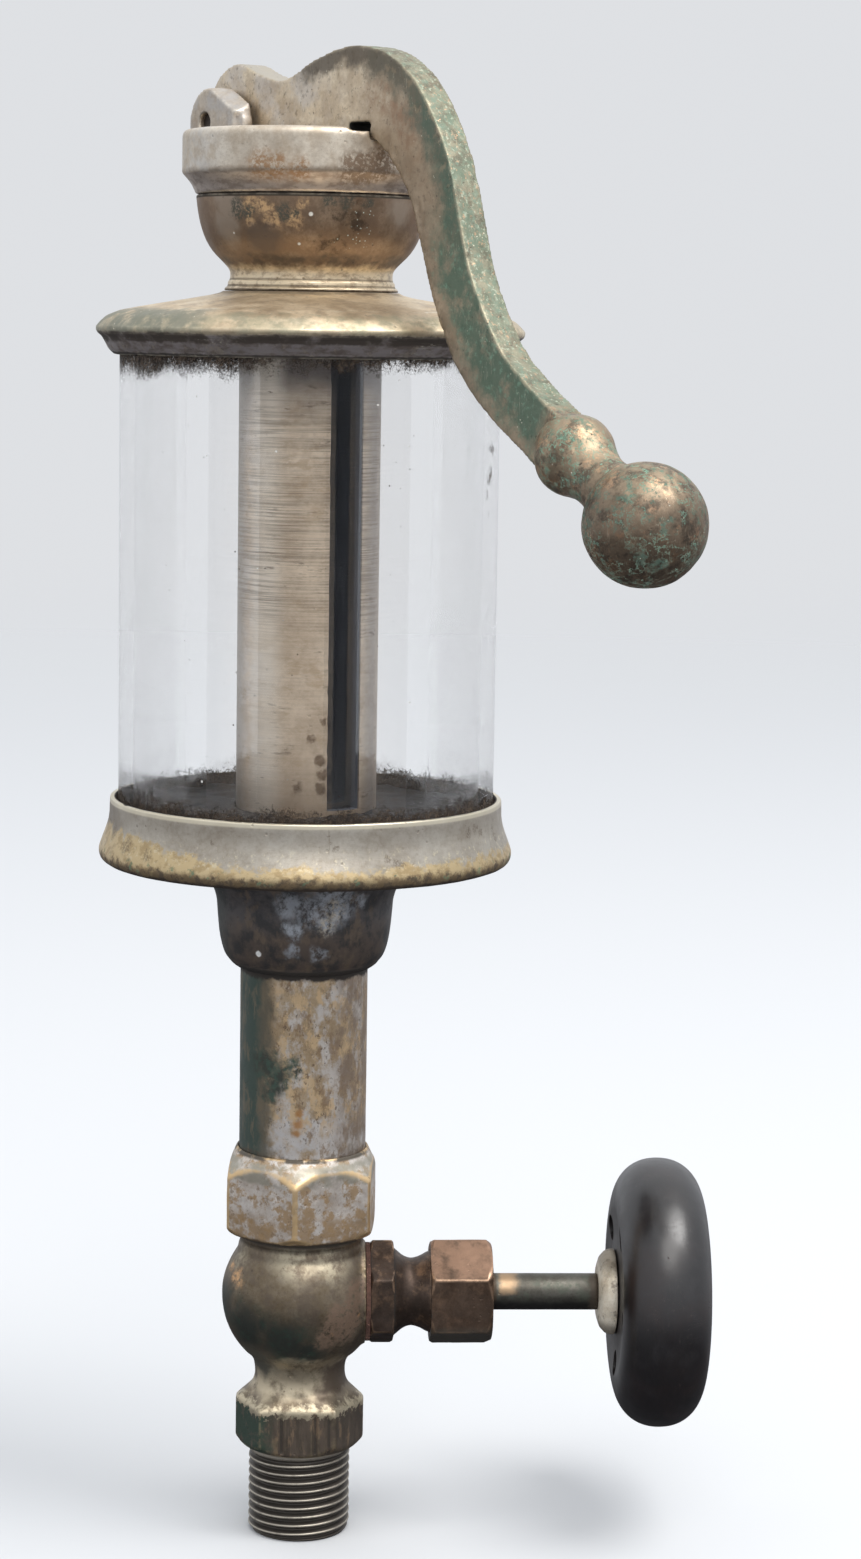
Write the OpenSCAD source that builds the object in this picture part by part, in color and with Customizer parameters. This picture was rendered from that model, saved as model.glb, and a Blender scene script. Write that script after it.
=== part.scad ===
// Hand oil pump with a sight-glass reservoir, a hinged ball lever and a
// screw-down shut-off valve on a threaded shank. Millimetres throughout.
// Z runs up the main axis from the lower end face of the shank, the lever
// lies in the XZ plane and reaches towards +X.

/* [Shank and valve] */
// Major radius of the shank thread
shank_r = 10.67; // [10.5:0.01:10.8]
// Length of the threaded shank
shank_l = 18; // [16:0.5:20]
// Radius of the globe of the valve body
globe_r = 16.45; // [16.3:0.05:16.6]
// Angle of the valve stem from the lever, about the main axis
stem_angle = 58; // [40:1:80]
// Radius of the valve stem
stem_r = 3.8; // [3.6:0.05:3.8]
// Outside radius of the hand wheel
wheel_r = 27.9; // [26:0.1:29]
// Thickness of the hand wheel
wheel_t = 18.2; // [17:0.1:19]

/* [Pump barrel] */
// Outside radius of the pump barrel
barrel_r = 13.1; // [13.05:0.05:13.25]
// Bore radius of the pump barrel
bore_r = 9.5; // [9.5:0.1:10]
// Across flats of the hexagon coupling
coupling_af = 29.8; // [29.5:0.1:31]

/* [Reservoir] */
// Outside radius of the sight glass
glass_r = 38.19; // [37.5:0.01:38.19]
// Wall of the sight glass
glass_wall = 3; // [2:0.1:3.2]
// Outside radius of the slotted centre tube
tube_r = 14.3; // [14:0.1:14.3]
// Width of the slot in the centre tube
tube_slot = 7.75; // [6:0.05:9]

/* [Lever] */
// Thickness of the lever
lever_t = 6.2; // [5.8:0.1:6.4]
// Radius of the ball at the end of the lever
ball_r = 11.3; // [10.5:0.1:12]
// Radius of the hinge pin
hinge_r = 2.1; // [1.8:0.05:2.2]
// Clearance around the rod pin in the slotted hole of the lever
open_gap = 0.35; // [0.35:0.01:0.4]

/* [Hidden] */
$fn = 96;

// hinge of the lever and pin of the plunger rod at rest
hx = -28.4;
hz = 290.9;
drop = 24;
pin_r = 2.5;
pin_z = hz + hx * tan(drop);
// height of the stem axis
vz = 50.7;
// height of the centre of the globe
gz = 50.3;

brass = [0.72, 0.62, 0.42];
nickel = [0.74, 0.72, 0.66];
bronze = [0.5, 0.38, 0.26];
dark = [0.16, 0.13, 0.12];

// smooth line through hand-set points, n steps a span
function cr(a, b, c, d, t) = 0.5 * ((2 * b) + (c - a) * t
  + (2 * a - 5 * b + 4 * c - d) * t * t + (3 * b - a - 3 * c + d) * t * t * t);
function smooth(p, n) = [for (i = [0 : len(p) - 2]) for (k = [0 : n - 1])
  cr(p[max(i - 1, 0)], p[i], p[i + 1], p[min(i + 2, len(p) - 1)], k / n)];
function arc(cx, cy, r, a0, a1, n) = [for (i = [0 : n])
  [cx + r * cos(a0 + (a1 - a0) * i / n), cy + r * sin(a0 + (a1 - a0) * i / n)]];

// places a shape drawn along +Z on the stem axis, s = 0 at the main axis
module on_stem() {
  translate([0, 0, vz]) rotate([0, 0, stem_angle]) rotate([0, 90, 0])
    children();
}
// hexagonal bar along Z with two corners up and down when laid on the stem
module stem_hex(af, h) {
  rotate([0, 0, 3]) cylinder(r = af / 2 / cos(30), h = h, $fn = 6);
}
// round bar whose ends are turned down, to trim hexagon corners
module turned(r, h, c0, c1, k) {
  rotate_extrude() polygon([[0, 0], [r - c0, 0], [r, c0 * k], [r, h - c1 * k],
    [r - c1, h], [0, h]]);
}

// ---- valve -----------------------------------------------------------

module wrench_outline() {
  polygon([[-7.9, -11.8], [7.9, -11.8], [13.35, -1.2], [13.35, 1.2],
    [7.9, 11.8], [-7.9, 11.8], [-13.35, 1.2], [-13.35, -1.2]]);
}

module valve_body() color(brass) {
  difference() {
    union() {
      cylinder(r = shank_r, h = shank_l + 1);
      // wrench flats, turned corners, and the flare that runs into the neck
      rotate([0, 0, 55]) {
        intersection() {
          translate([0, 0, shank_l - 0.1]) linear_extrude(10.5)
            wrench_outline();
          translate([0, 0, shank_l - 0.1]) cylinder(r1 = 11, r2 = 24, h = 10.7);
        }
        hull() {
          translate([0, 0, shank_l + 10.2]) linear_extrude(0.1)
            wrench_outline();
          translate([0, 0, shank_l + 13.6]) cylinder(r = 9.4, h = 0.1, $fn = 32);
        }
      }
      // neck, globe and spigot in one turned shape
      rotate_extrude() polygon(concat([[0, 31.4]],
        [[10, 31.4]],
        smooth([[10, 31.4], [9.6, 32.4], [9.4, 34], [9.6, 35.9], [10.1, 37.2],
          [11.2, 38.4]], 4),
        arc(0, gz, globe_r, -46, 37, 40),
        [[13.1, 61.1], [12.7, 61.9], [12.7, 62.6], [12.9, 63], [12.9, 70.3],
        [0, 70.3]]));
      // flat boss that the bonnet seats on
      on_stem() translate([0, 0, 4]) cylinder(r = 10.7, h = 9.4);
    }
    // outlet bore in the shank
    translate([0, 0, -1]) cylinder(r = 6, h = 37);
    translate([0, 0, -1]) cylinder(r1 = 8, r2 = 6, h = 2);
    // way from the shank to the back of the seat
    on_stem() translate([0, 0, -9]) cylinder(r = 5, h = 8.5);
    rotate([0, 0, stem_angle]) translate([0, 0, 33]) rotate([0, -16, 0])
      cylinder(r = 4, h = 18);
    // seat
    on_stem() translate([0, 0, -2]) cylinder(r = 4.5, h = 8);
    // flat end of the boss, cut through the side of the globe
    on_stem() translate([0, 0, 13.4]) cylinder(r = 13.5, h = 6);
    // valve chamber and thread for the bonnet
    on_stem() translate([0, 0, 3]) cylinder(r = 8.3, h = 12);
    // inlet from the pump and spring seat
    translate([0, 0, 58]) cylinder(r = 6, h = 14);
    rotate([0, 0, stem_angle]) translate([8, 0, vz])
      rotate([0, -22.6, 0]) cylinder(r = 2.8, h = 11.5);
  }
}

module coupling() color(nickel) {
  difference() {
    rotate([0, 0, 55 - 92.5]) intersection() {
      translate([0, 0, 64.2]) cylinder(r = coupling_af / 2 / cos(30), h = 17.9,
        $fn = 6);
      translate([0, 0, 64.2]) rotate_extrude() polygon([[0, 0], [14.1, 0],
        [15.7, 0.45], [17.4, 1.9], [17.4, 12.3], [16.2, 13.7], [14.8, 15.5],
        [14.1, 16.8], [13.6, 17.9], [0, 17.9]]);
    }
    translate([0, 0, 64]) cylinder(r = 12.9, h = 7);
    translate([0, 0, 70.35]) cylinder(r = barrel_r, h = 14);
  }
}

module bonnet_washer() color(dark) {
  on_stem() translate([0, 0, 13.4]) difference() {
    cylinder(r = 10.2, h = 0.9);
    translate([0, 0, -1]) cylinder(r = 8.3, h = 3);
  }
}

module bonnet() color(bronze) {
  on_stem() difference() {
    union() {
      translate([0, 0, 7]) cylinder(r = 8.3, h = 8);
      // hexagon
      intersection() {
        translate([0, 0, 14.3]) stem_hex(19.6, 4.9);
        translate([0, 0, 14.3]) turned(11.3, 4.9, 0.9, 0.8, 0.6);
      }
      // hollow neck and packing spigot
      rotate_extrude() polygon(concat([[0, 19]],
        smooth([[9.2, 19.1], [8.6, 19.9], [7.5, 21.3], [7, 22.9], [7.4, 24.6],
          [8.1, 25.9]], 5), [[8.1, 25.9], [8.45, 26.6], [8.45, 34], [0, 34]]));
    }
    translate([0, 0, 6]) cylinder(r = 6.5, h = 6);
    translate([0, 0, 10]) cylinder(r = stem_r + 0.06, h = 30);
    translate([0, 0, 29]) cylinder(r = 6.5, h = 6);
  }
}

module stem_packing() color([0.35, 0.33, 0.28]) {
  on_stem() translate([0, 0, 29]) difference() {
    cylinder(r = 6.5, h = 3.5);
    translate([0, 0, -1]) cylinder(r = stem_r + 0.02, h = 6);
  }
}

module gland() color(brass) {
  on_stem() translate([0, 0, 32.5]) difference() {
    union() {
      cylinder(r = 6.45, h = 2.5);
      translate([0, 0, 1.7]) cylinder(r = 8.2, h = 2.3);
    }
    translate([0, 0, -1]) cylinder(r = stem_r + 0.08, h = 8);
  }
}

module packing_nut() color(bronze) {
  on_stem() translate([0, 0, 26.8]) difference() {
    intersection() {
      stem_hex(19.8, 12.9);
      turned(11.5, 12.9, 1, 1.5, 0.9);
    }
    translate([0, 0, -1]) cylinder(r = 8.5, h = 10.7);
    cylinder(r = stem_r + 0.15, h = 20);
  }
}

module valve_disc() color(bronze) {
  on_stem() translate([0, 0, 3]) difference() {
    rotate_extrude() polygon([[0, 0], [5.6, 0], [6.2, 0.6], [6.2, 3], [0, 3]]);
    translate([0, 0, 1]) cylinder(r = 2.56, h = 4);
  }
}

module valve_stem() color(brass) {
  on_stem() {
    translate([0, 0, 4.05]) cylinder(r = 2.5, h = 3);
    translate([0, 0, 6.05]) cylinder(r = stem_r, h = 55.85);
    translate([0, 0, 61]) cylinder(r = 3, h = 22);
  }
}

module wheel_washer() color(nickel) {
  on_stem() translate([0, 0, 61.9]) difference() {
    rotate_extrude() polygon([[0, 0], [5.6, 0], [7.4, 0.6], [8.5, 1.6],
      [8.9, 2.6], [8.9, 3.6], [0, 3.6]]);
    translate([0, 0, -1]) cylinder(r = 3, h = 6);
  }
}

module handwheel() color(dark) {
  on_stem() translate([0, 0, 65.5]) difference() {
    rotate_extrude() polygon(concat([[0, 0.2], [8, 0.2], [12, 0.55]],
      [[15.5, 0.35]],
      [for (i = [0 : 40]) let (a = -90 + 180 * i / 40)
        [17.7 + (wheel_r - 17.7) * pow(abs(cos(a)), 0.86),
          wheel_t / 2 + wheel_t / 2 * pow(abs(sin(a)), 0.92) * sign(sin(a))]],
      [[15.5, wheel_t - 0.35], [12, wheel_t - 0.6], [8, wheel_t - 0.3],
      [0, wheel_t - 0.3]]));
    translate([0, 0, -1]) cylinder(r = 3, h = 30);
    translate([0, 0, 11]) cylinder(r = 8, h = 10);
    for (i = [0 : 4]) rotate([0, 0, 209 + 72 * i])
      translate([15, 0, -1]) cylinder(r = 2.7, h = 30);
  }
}

module wheel_nut() color(brass) {
  on_stem() translate([0, 0, 76.5]) difference() {
    cylinder(r = 12 / 2 / cos(30), h = 4.6, $fn = 6);
    translate([0, 0, -1]) cylinder(r = 3, h = 8);
  }
}

// ---- pump ------------------------------------------------------------

module barrel() color(nickel) {
  difference() {
    translate([0, 0, 70.35]) cylinder(r = barrel_r, h = 63.65);
    translate([0, 0, 70]) cylinder(r = bore_r, h = 70);
    translate([0, 0, 132.5]) cylinder(r1 = bore_r, r2 = bore_r + 2.1, h = 2.1);
  }
}

module check_seat() color(brass) {
  translate([0, 0, 72]) difference() {
    cylinder(r = bore_r, h = 7);
    translate([0, 0, -1]) cylinder(r = 3, h = 10);
  }
}

module check_ball() color([0.6, 0.6, 0.62]) {
  translate([0, 0, 69.33]) sphere(r = 3.97);
}

// coil spring under the check ball: a round wire swept along a helix
module check_spring() color([0.45, 0.45, 0.45]) {
  turns = 4;
  w = 0.4;
  rc = 2.9;
  z0 = 58.45;
  z1 = 65.95;
  n = 64;
  m = 8;
  pts = [for (i = [0 : n]) let (a = 360 * turns * i / n,
      z = z0 + (z1 - z0) * i / n) for (j = [0 : m - 1])
      let (b = 360 * j / m) [(rc + w * cos(b)) * cos(a),
        (rc + w * cos(b)) * sin(a), z + w * sin(b)]];
  faces = concat([[for (j = [0 : m - 1]) j]],
    [for (i = [0 : n - 1]) for (j = [0 : m - 1])
      [i * m + j, (i + 1) * m + j, (i + 1) * m + (j + 1) % m, i * m + (j + 1) % m]],
    [[for (j = [m - 1 : -1 : 0]) n * m + j]]);
  polyhedron(points = pts, faces = faces, convexity = 6);
}

module plunger_rod() color([0.55, 0.5, 0.42]) {
  difference() {
    union() {
      translate([0, 0, 80.3]) cylinder(r = 3, h = 15);
      translate([0, 0, 94]) cylinder(r = 4, h = pin_z - 15 - 94);
      // turned base of the fork
      translate([0, 0, pin_z - 16]) rotate_extrude() polygon([[0, 0], [4, 0],
        [6.2, 1.6], [6.2, 5.5], [0, 5.5]]);
      // two cheeks
      intersection() {
        translate([0, 0, pin_z - 12]) cylinder(r = 6.9, h = 20);
        union() {
          rotate([90, 0, 0]) translate([0, pin_z, -6.3])
            cylinder(r = 5.2, h = 12.6);
          translate([-5.2, -6.3, pin_z - 12]) cube([10.4, 12.6, 12]);
        }
      }
    }
    translate([-10, -3.35, pin_z - 10.5]) cube([20, 6.7, 20]);
    translate([0, 10, pin_z]) rotate([90, 0, 0]) cylinder(r = pin_r, h = 20);
  }
}

module rod_pin() color(nickel) {
  translate([0, 6.2, pin_z]) rotate([90, 0, 0]) cylinder(r = pin_r, h = 12.4);
}

module plunger() color(brass) {
  translate([0, 0, 89]) difference() {
    cylinder(r = 9.3, h = 5);
    translate([0, 0, -1]) cylinder(r = 3, h = 8);
  }
}

module cup_leather() color([0.35, 0.22, 0.14]) {
  difference() {
    translate([0, 0, 82]) cylinder(r = bore_r - 0.1, h = 7);
    translate([0, 0, 81]) cylinder(r = 7.6, h = 6);
    translate([0, 0, 80]) cylinder(r = 3, h = 12);
  }
}

module follower_washer() color(brass) {
  translate([0, 0, 85.3]) difference() {
    cylinder(r = 7.3, h = 1.7);
    translate([0, 0, -1]) cylinder(r = 3, h = 4);
  }
}

module plunger_nut() color(brass) {
  translate([0, 0, 81.3]) difference() {
    cylinder(r = 10 / 2 / cos(30), h = 4, $fn = 6);
    translate([0, 0, -1]) cylinder(r = 3, h = 6);
  }
}

// ---- reservoir -------------------------------------------------------

module base_cup() color(nickel) {
  rotate_extrude() polygon(concat(
    [[barrel_r, 119.9]],
    smooth([[13.7, 119.95], [15, 120.9], [16.3, 122.5], [17.05, 124.5],
      [17.5, 126.8], [17.75, 129.1], [17.95, 131.6], [18.2, 134.2],
      [19, 136.6], [20.6, 139.4], [23.4, 143.2], [28, 145], [33.5, 144.6],
      [37.5, 143.2], [39.3, 142.1], [40.6, 141.9], [41.6, 142.5],
      [42.1, 143.4], [42.15, 144.4], [41.8, 145.6], [41.3, 146.9],
      [40.75, 148.4], [40.3, 149.9], [40.05, 151.6], [40, 153.4],
      [39.95, 154.7]], 3),
    [[39.8, 155], [38.75, 155], [38.6, 154.8], [38.6, 149.5],
    [tube_r, 149.5], [tube_r, 138], [11, 138], [11, 134], [barrel_r, 134]]));
}

module base_gasket() color([0.14, 0.12, 0.11]) {
  translate([0, 0, 149.5]) difference() {
    cylinder(r = 38.4, h = 2);
    translate([0, 0, -1]) cylinder(r = tube_r + 0.3, h = 4);
  }
}

module glass() color([0.75, 0.85, 0.95, 0.35]) {
  translate([0, 0, 151.5]) difference() {
    cylinder(r = glass_r, h = 96);
    translate([0, 0, -1]) cylinder(r = glass_r - glass_wall, h = 98);
  }
}

module top_gasket() color([0.12, 0.11, 0.1]) {
  translate([0, 0, 247.5]) difference() {
    cylinder(r = 38.5, h = 2);
    translate([0, 0, -1]) cylinder(r = 34.8, h = 4);
  }
}

module cover() color(brass) {
  rotate_extrude() polygon(concat(
    [[tube_r, 252.6], [18, 252.6], [26, 251.9], [33, 250.4], [34.6, 249.5],
    [38.6, 249.5], [38.6, 244.1], [39.2, 243.9], [39.5, 244.15]],
    smooth([[39.5, 244.15], [40.4, 245], [40.9, 245.9], [41.4, 246.8],
      [41.95, 247.6], [42.6, 248.1], [43, 248.8], [43, 249.5], [42.65, 250],
      [41.9, 250.8], [40.8, 251.7], [39.2, 252.4], [36.8, 253.1], [32.4, 253.9],
      [26.2, 255], [20.5, 256], [18.4, 256.5]], 3),
    [[17.6, 256.9], [tube_r, 256.9]]));
}

module filler_bowl() color(brass) {
  rotate_extrude() polygon(concat(
    [[tube_r, 256.9], [17.4, 256.9]],
    smooth([[17.4, 256.9], [17.3, 257.5], [16.8, 257.9], [16.75, 258.6],
      [16.35, 259.2], [16.3, 260.2], [16.5, 261.1], [17.2, 262], [18.2, 263],
      [19.4, 264.2], [20.4, 265.5], [21.2, 266.9], [21.8, 268.4],
      [22.25, 269.9], [22.6, 271.5], [22.85, 273.2], [23.05, 274.6]], 3),
    [[23.1, 275.4], [22.95, 275.7], [20, 275.7], [20, 271.3]],
    smooth([[20, 271.3], [19, 268.4], [17, 265.8], [14.4, 264], [12.2, 262.8]], 3),
    [[11.6, 262], [tube_r, 262]]));
}

module centre_tube() color([0.66, 0.6, 0.5]) {
  difference() {
    translate([0, 0, 138]) cylinder(r = tube_r, h = 124);
    translate([0, 0, 137]) cylinder(r = 11.5, h = 126);
    translate([0, -tube_slot / 2, 153.7]) cube([20, tube_slot, 96]);
  }
}

module ear_outline() {
  polygon(concat([[-34.3, 280.8], [-34.3, 291.2]],
    smooth([[-34.25, 292], [-33.2, 294.4], [-31.5, 296.3], [-28.9, 297.6],
      [-26, 297.9], [-23, 297.5], [-19.9, 296.4], [-18, 295.4],
      [-16.9, 294.4], [-16.4, 293.4]], 3),
    [[-16.4, 292.8], [-16, 291.9], [-15.6, 290.8], [-15.6, 286],
    [-20, 280.8]]));
}

// one ear on the side of -y, with a sloping bevel along its front edge
module ear() {
  difference() {
    translate([0, -4.1, 0]) rotate([90, 0, 0]) linear_extrude(4) ear_outline();
    translate([-26.4, -8.1, 297.7]) rotate([0, 27.2, 0]) rotate([22, 0, 0])
      translate([-8, -2, 0]) cube([30, 12, 6]);
    // hollow at the foot of the front edge
    translate([-15.2, -8.8, 288]) cylinder(r = 2.4, h = 4.6);
    translate([0, 0, 270]) cylinder(r = 21.5, h = 14.8);
  }
}

module cap() color(nickel) {
  difference() {
    union() {
      rotate_extrude() polygon(concat(
        [[17.8, 271.5], [20, 271.5], [20, 275.75], [23.2, 275.75]],
        [[23.4, 276.2]],
        smooth([[23.4, 276.2], [23.8, 277.1], [24.3, 278], [25, 278.9]], 3),
        [[25.5, 279.45], [25.85, 279.75], [25.95, 280.1], [25.95, 287.2],
        [25.75, 287.8], [25.3, 288.2], [24.7, 288.4], [0, 288.4], [0, 284.8], [21.5, 284.8],
        [21.5, 279], [17.8, 277.4]]));
      // two hinge ears on their lug
      ear();
      mirror([0, 1, 0]) ear();
      difference() {
        translate([-34.3, -8.1, 280.8]) cube([12, 16.2, 4]);
        translate([0, 0, 279]) cylinder(r = 21.5, h = 5.8);
      }
    }
    // the ears stay clear of the hollow of the cap
    translate([0, 0, 279]) cylinder(r = 21.5, h = 5.8);
    // slot that the lever works in, narrow between the ears
    translate([-40, -4.1, 282.4]) cube([30, 8.2, 30]);
    translate([-13.5, -7.3, 280]) cube([33, 14.6, 10]);
    // shallow notch through the rim, and the deeper groove that the lever
    // comes down into
    translate([15, -7.3, 287.5]) cube([14, 14.6, 10]);
    translate([15, -3.5, 285.9]) cube([14, 7, 10]);
    translate([0, 12, hz]) rotate([90, 0, 0]) translate([hx, 0, 0])
      cylinder(r = hinge_r, h = 24);
  }
}

module hinge_pin() color(bronze) {
  translate([hx, 6.9, hz]) rotate([90, 0, 0]) cylinder(r = hinge_r, h = 13.8);
}

// ---- lever -----------------------------------------------------------

outer_pts = [[-33.6, 297.4], [-31.4, 300], [-28.7, 301.6], [-25.9, 302.5],
  [-23.2, 302.7], [-20.4, 302], [-17.2, 300.8], [-13.5, 299.8], [-9.8, 298.9],
  [-6.1, 298.8], [-2.8, 299.5], [1.5, 301.1], [6, 302.4], [11.3, 303.5],
  [17, 304.1], [22.4, 303.9], [26.6, 303.1], [30.4, 302], [34.8, 299.9],
  [38.7, 297.4], [42.2, 294.1], [45.3, 290.5], [48.2, 286.5], [50.8, 282.2],
  [52.8, 277.2], [54.7, 271.6], [56.3, 266.8], [58.2, 261.6], [61.2, 256.3],
  [64.8, 251.1], [69.2, 246], [75, 241.8], [80.6, 238.3], [86.4, 235.2]];
inner_pts = [[81.4, 224.6], [75.9, 228.1], [69.9, 231.4], [64.3, 234.8],
  [59.1, 238.8], [54.5, 243.2], [51.3, 247.6], [48.6, 252], [46.1, 256.8],
  [44, 261.6], [42, 266.6], [40, 271.6], [37.9, 275.5], [35.5, 278.5],
  [33, 280.9], [30.4, 283.1], [27.5, 285.2], [24.9, 286.55], [21, 287.1],
  [16.4, 286.9], [12, 285.8], [8.8, 283.4], [6.9, 280.4]];

module lever_outline() {
  difference() {
    union() {
      translate([hx, hz]) circle(r = 8);
      polygon(concat([[hx - 4.2, hz + 1]], [[-34.4, 293.6]],
        smooth(outer_pts, 3), [outer_pts[len(outer_pts) - 1]],
        smooth(inner_pts, 3), [[6.5, 279], [0.4, 278.2], [-3.4, 272.9],
        [-8.6, 276], [-10.4, 281.6], [-14, 284.3], [-20, 284.3],
        [hx + 2, hz - 7.7]]));
      translate([0.35, pin_z - 0.1]) circle(r = 6.3);
    }
    translate([hx, hz]) circle(r = hinge_r + 0.05);
    // relief over the notched rim of the cap
    translate([17.8, 285]) square([7.1, 4.25]);
    // slotted hole, along the line from the hinge
    translate([hx, hz]) rotate(-drop) {
      for (x = [-hx - 0.7, -hx / cos(drop) + 0.35]) translate([x, 0])
        circle(r = pin_r + open_gap);
      translate([-hx - 0.7, -pin_r - open_gap])
        square([-hx / cos(drop) + 1.05 + hx, 2 * (pin_r + open_gap)]);
    }
  }
}

module lever() color([0.42, 0.38, 0.27]) {
  rotate([90, 0, 0]) translate([0, 0, -lever_t / 2])
    linear_extrude(lever_t) lever_outline();
  // bead, neck and ball turned in line with the end of the arm
  translate([87.8, 0, 228]) rotate([0, 118.5, 0]) rotate_extrude()
    polygon(concat([[0, -6.4]],
      smooth([[4.6, -6.3], [5.9, -4.7], [7.1, -2.4], [7.65, -0.2], [7.4, 2.2],
        [6.5, 4.4], [5.8, 6.4], [5.4, 8.6], [5.4, 10.8], [5.8, 12.8]], 4),
      arc(0, 23.9, ball_r, -57, 90, 34)));
}

valve_body();
coupling();
barrel();
check_seat();
check_ball();
check_spring();
base_cup();
base_gasket();
glass();
top_gasket();
cover();
filler_bowl();
cap();
centre_tube();
hinge_pin();
lever();
plunger_rod();
rod_pin();
plunger();
cup_leather();
follower_washer();
plunger_nut();
bonnet_washer();
bonnet();
stem_packing();
gland();
packing_nut();
valve_disc();
valve_stem();
wheel_washer();
handwheel();
wheel_nut();
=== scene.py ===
"""Looks of the hand oil pump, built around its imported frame. Lengths in the helpers are in millimetres."""

import math

import bmesh
import bpy
import numpy as np
from mathutils import Matrix, Vector


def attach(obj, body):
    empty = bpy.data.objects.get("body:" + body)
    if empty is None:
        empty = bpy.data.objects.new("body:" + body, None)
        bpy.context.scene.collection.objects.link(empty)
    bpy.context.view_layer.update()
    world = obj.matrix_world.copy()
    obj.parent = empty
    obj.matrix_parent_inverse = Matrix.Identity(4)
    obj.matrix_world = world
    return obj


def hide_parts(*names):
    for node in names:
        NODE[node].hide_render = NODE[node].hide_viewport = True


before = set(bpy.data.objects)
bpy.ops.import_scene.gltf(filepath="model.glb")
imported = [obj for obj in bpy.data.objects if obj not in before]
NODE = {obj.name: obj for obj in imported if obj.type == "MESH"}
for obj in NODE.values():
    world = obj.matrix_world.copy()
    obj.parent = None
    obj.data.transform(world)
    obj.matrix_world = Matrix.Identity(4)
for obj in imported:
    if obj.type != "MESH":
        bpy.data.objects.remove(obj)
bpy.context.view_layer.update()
MM = 0.001
SCENE = bpy.context.scene


# ---------------------------------------------------------------- numbers
def rot_z(deg):
    a = math.radians(deg)
    return np.array(
        [[math.cos(a), -math.sin(a), 0], [math.sin(a), math.cos(a), 0], [0, 0, 1]]
    )


VIEW = rot_z(55)  # columns: right of, away from and above the front side


def hash3(ix, iy, iz, seed):
    h = (
        (ix.astype(np.uint64) * np.uint64(374761393))
        ^ (iy.astype(np.uint64) * np.uint64(668265263))
        ^ (iz.astype(np.uint64) * np.uint64(2246822519))
        ^ np.uint64((seed * 3266489917 + 977) & 0xFFFFFFFF)
    ) & np.uint64(0xFFFFFFFF)
    for shift, mul in ((15, 2246822519), (13, 3266489917)):
        h ^= h >> np.uint64(shift)
        h = (h * np.uint64(mul)) & np.uint64(0xFFFFFFFF)
    h ^= h >> np.uint64(16)
    return h.astype(np.float64) / 4294967295.0


def noise(p, size, seed=0, octaves=3):
    """Smooth noise from -1 to 1; size is the width of a lump in millimetres."""
    out, amp, total = np.zeros(len(p)), 1.0, 0.0
    for o in range(octaves):
        q = p / size * 2**o + 1000.0 + 17.3 * o
        i = np.floor(q).astype(np.int64)
        f = q - i
        f = f * f * f * (f * (f * 6 - 15) + 10)
        acc = np.zeros(len(p))
        for dx in (0, 1):
            for dy in (0, 1):
                for dz in (0, 1):
                    w = (
                        (f[:, 0] if dx else 1 - f[:, 0])
                        * (f[:, 1] if dy else 1 - f[:, 1])
                        * (f[:, 2] if dz else 1 - f[:, 2])
                    )
                    acc += w * hash3(i[:, 0] + dx, i[:, 1] + dy, i[:, 2] + dz, seed + o)
        out += amp * (2 * acc - 1)
        total += amp
        amp *= 0.5
    return out / total


def smoothstep(a, b, x):
    t = np.clip((x - a) / (b - a), 0, 1)
    return t * t * (3 - 2 * t)


def spline(points, n):
    """Smooth line through given points, n steps a span."""
    p = np.array(points, float)
    out = []
    for i in range(len(p) - 1):
        a, b, c, d = p[max(i - 1, 0)], p[i], p[i + 1], p[min(i + 2, len(p) - 1)]
        for k in range(n):
            t = k / n
            out.append(
                0.5
                * (
                    2 * b
                    + (c - a) * t
                    + (2 * a - 5 * b + 4 * c - d) * t * t
                    + (3 * b - a - 3 * c + d) * t**3
                )
            )
    out.append(p[-1])
    return [tuple(q) for q in out]


def arc(cx, cy, r, a0, a1, n):
    return [
        (
            cx + r * math.cos(math.radians(a0 + (a1 - a0) * i / n)),
            cy + r * math.sin(math.radians(a0 + (a1 - a0) * i / n)),
        )
        for i in range(n + 1)
    ]


def profile(points, closed=True, round_=0.25, turn=6.0, step=2.0):
    """A turned section with its corners rounded, with points close where it bends."""
    p = np.array(points, float)
    if closed:
        p = np.vstack([p, p[:1]])
    seg = np.linalg.norm(np.diff(p, axis=0), axis=1)
    keep = np.concatenate([[True], seg > 1e-6])
    p = p[keep]
    s = np.concatenate([[0], np.cumsum(np.linalg.norm(np.diff(p, axis=0), axis=1))])
    ds = 0.08
    n = max(int(s[-1] / ds), 8)
    u = np.linspace(0, s[-1], n + 1)
    q = np.column_stack([np.interp(u, s, p[:, 0]), np.interp(u, s, p[:, 1])])
    ds = s[-1] / n
    if closed:
        q = q[:-1]
    half = int(3 * round_ / ds) + 1
    k = np.exp(-0.5 * (np.arange(-half, half + 1) * ds / max(round_, 1e-6)) ** 2)
    k /= k.sum()
    if closed:
        ext = np.vstack([q[-half:], q, q[:half]])
        q = np.column_stack([np.convolve(ext[:, i], k, "valid") for i in range(2)])
    else:
        head = 2 * q[0] - q[half:0:-1]
        tail = 2 * q[-1] - q[-2 : -half - 2 : -1]
        ext = np.vstack([head, q, tail])
        q = np.column_stack([np.convolve(ext[:, i], k, "valid") for i in range(2)])
    # thin out by turning angle and length
    out = [0]
    d = np.diff(q, axis=0)
    ang = np.unwrap(np.arctan2(d[:, 1], d[:, 0]))
    last, length = ang[0], 0.0
    for i in range(1, len(q) - 1):
        length += np.linalg.norm(d[i - 1])
        if abs(ang[i] - last) > math.radians(turn) and length > 0.12 or length > step:
            out.append(i)
            last, length = ang[i], 0.0
    if not closed:
        out.append(len(q) - 1)
    return q[out]


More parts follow.
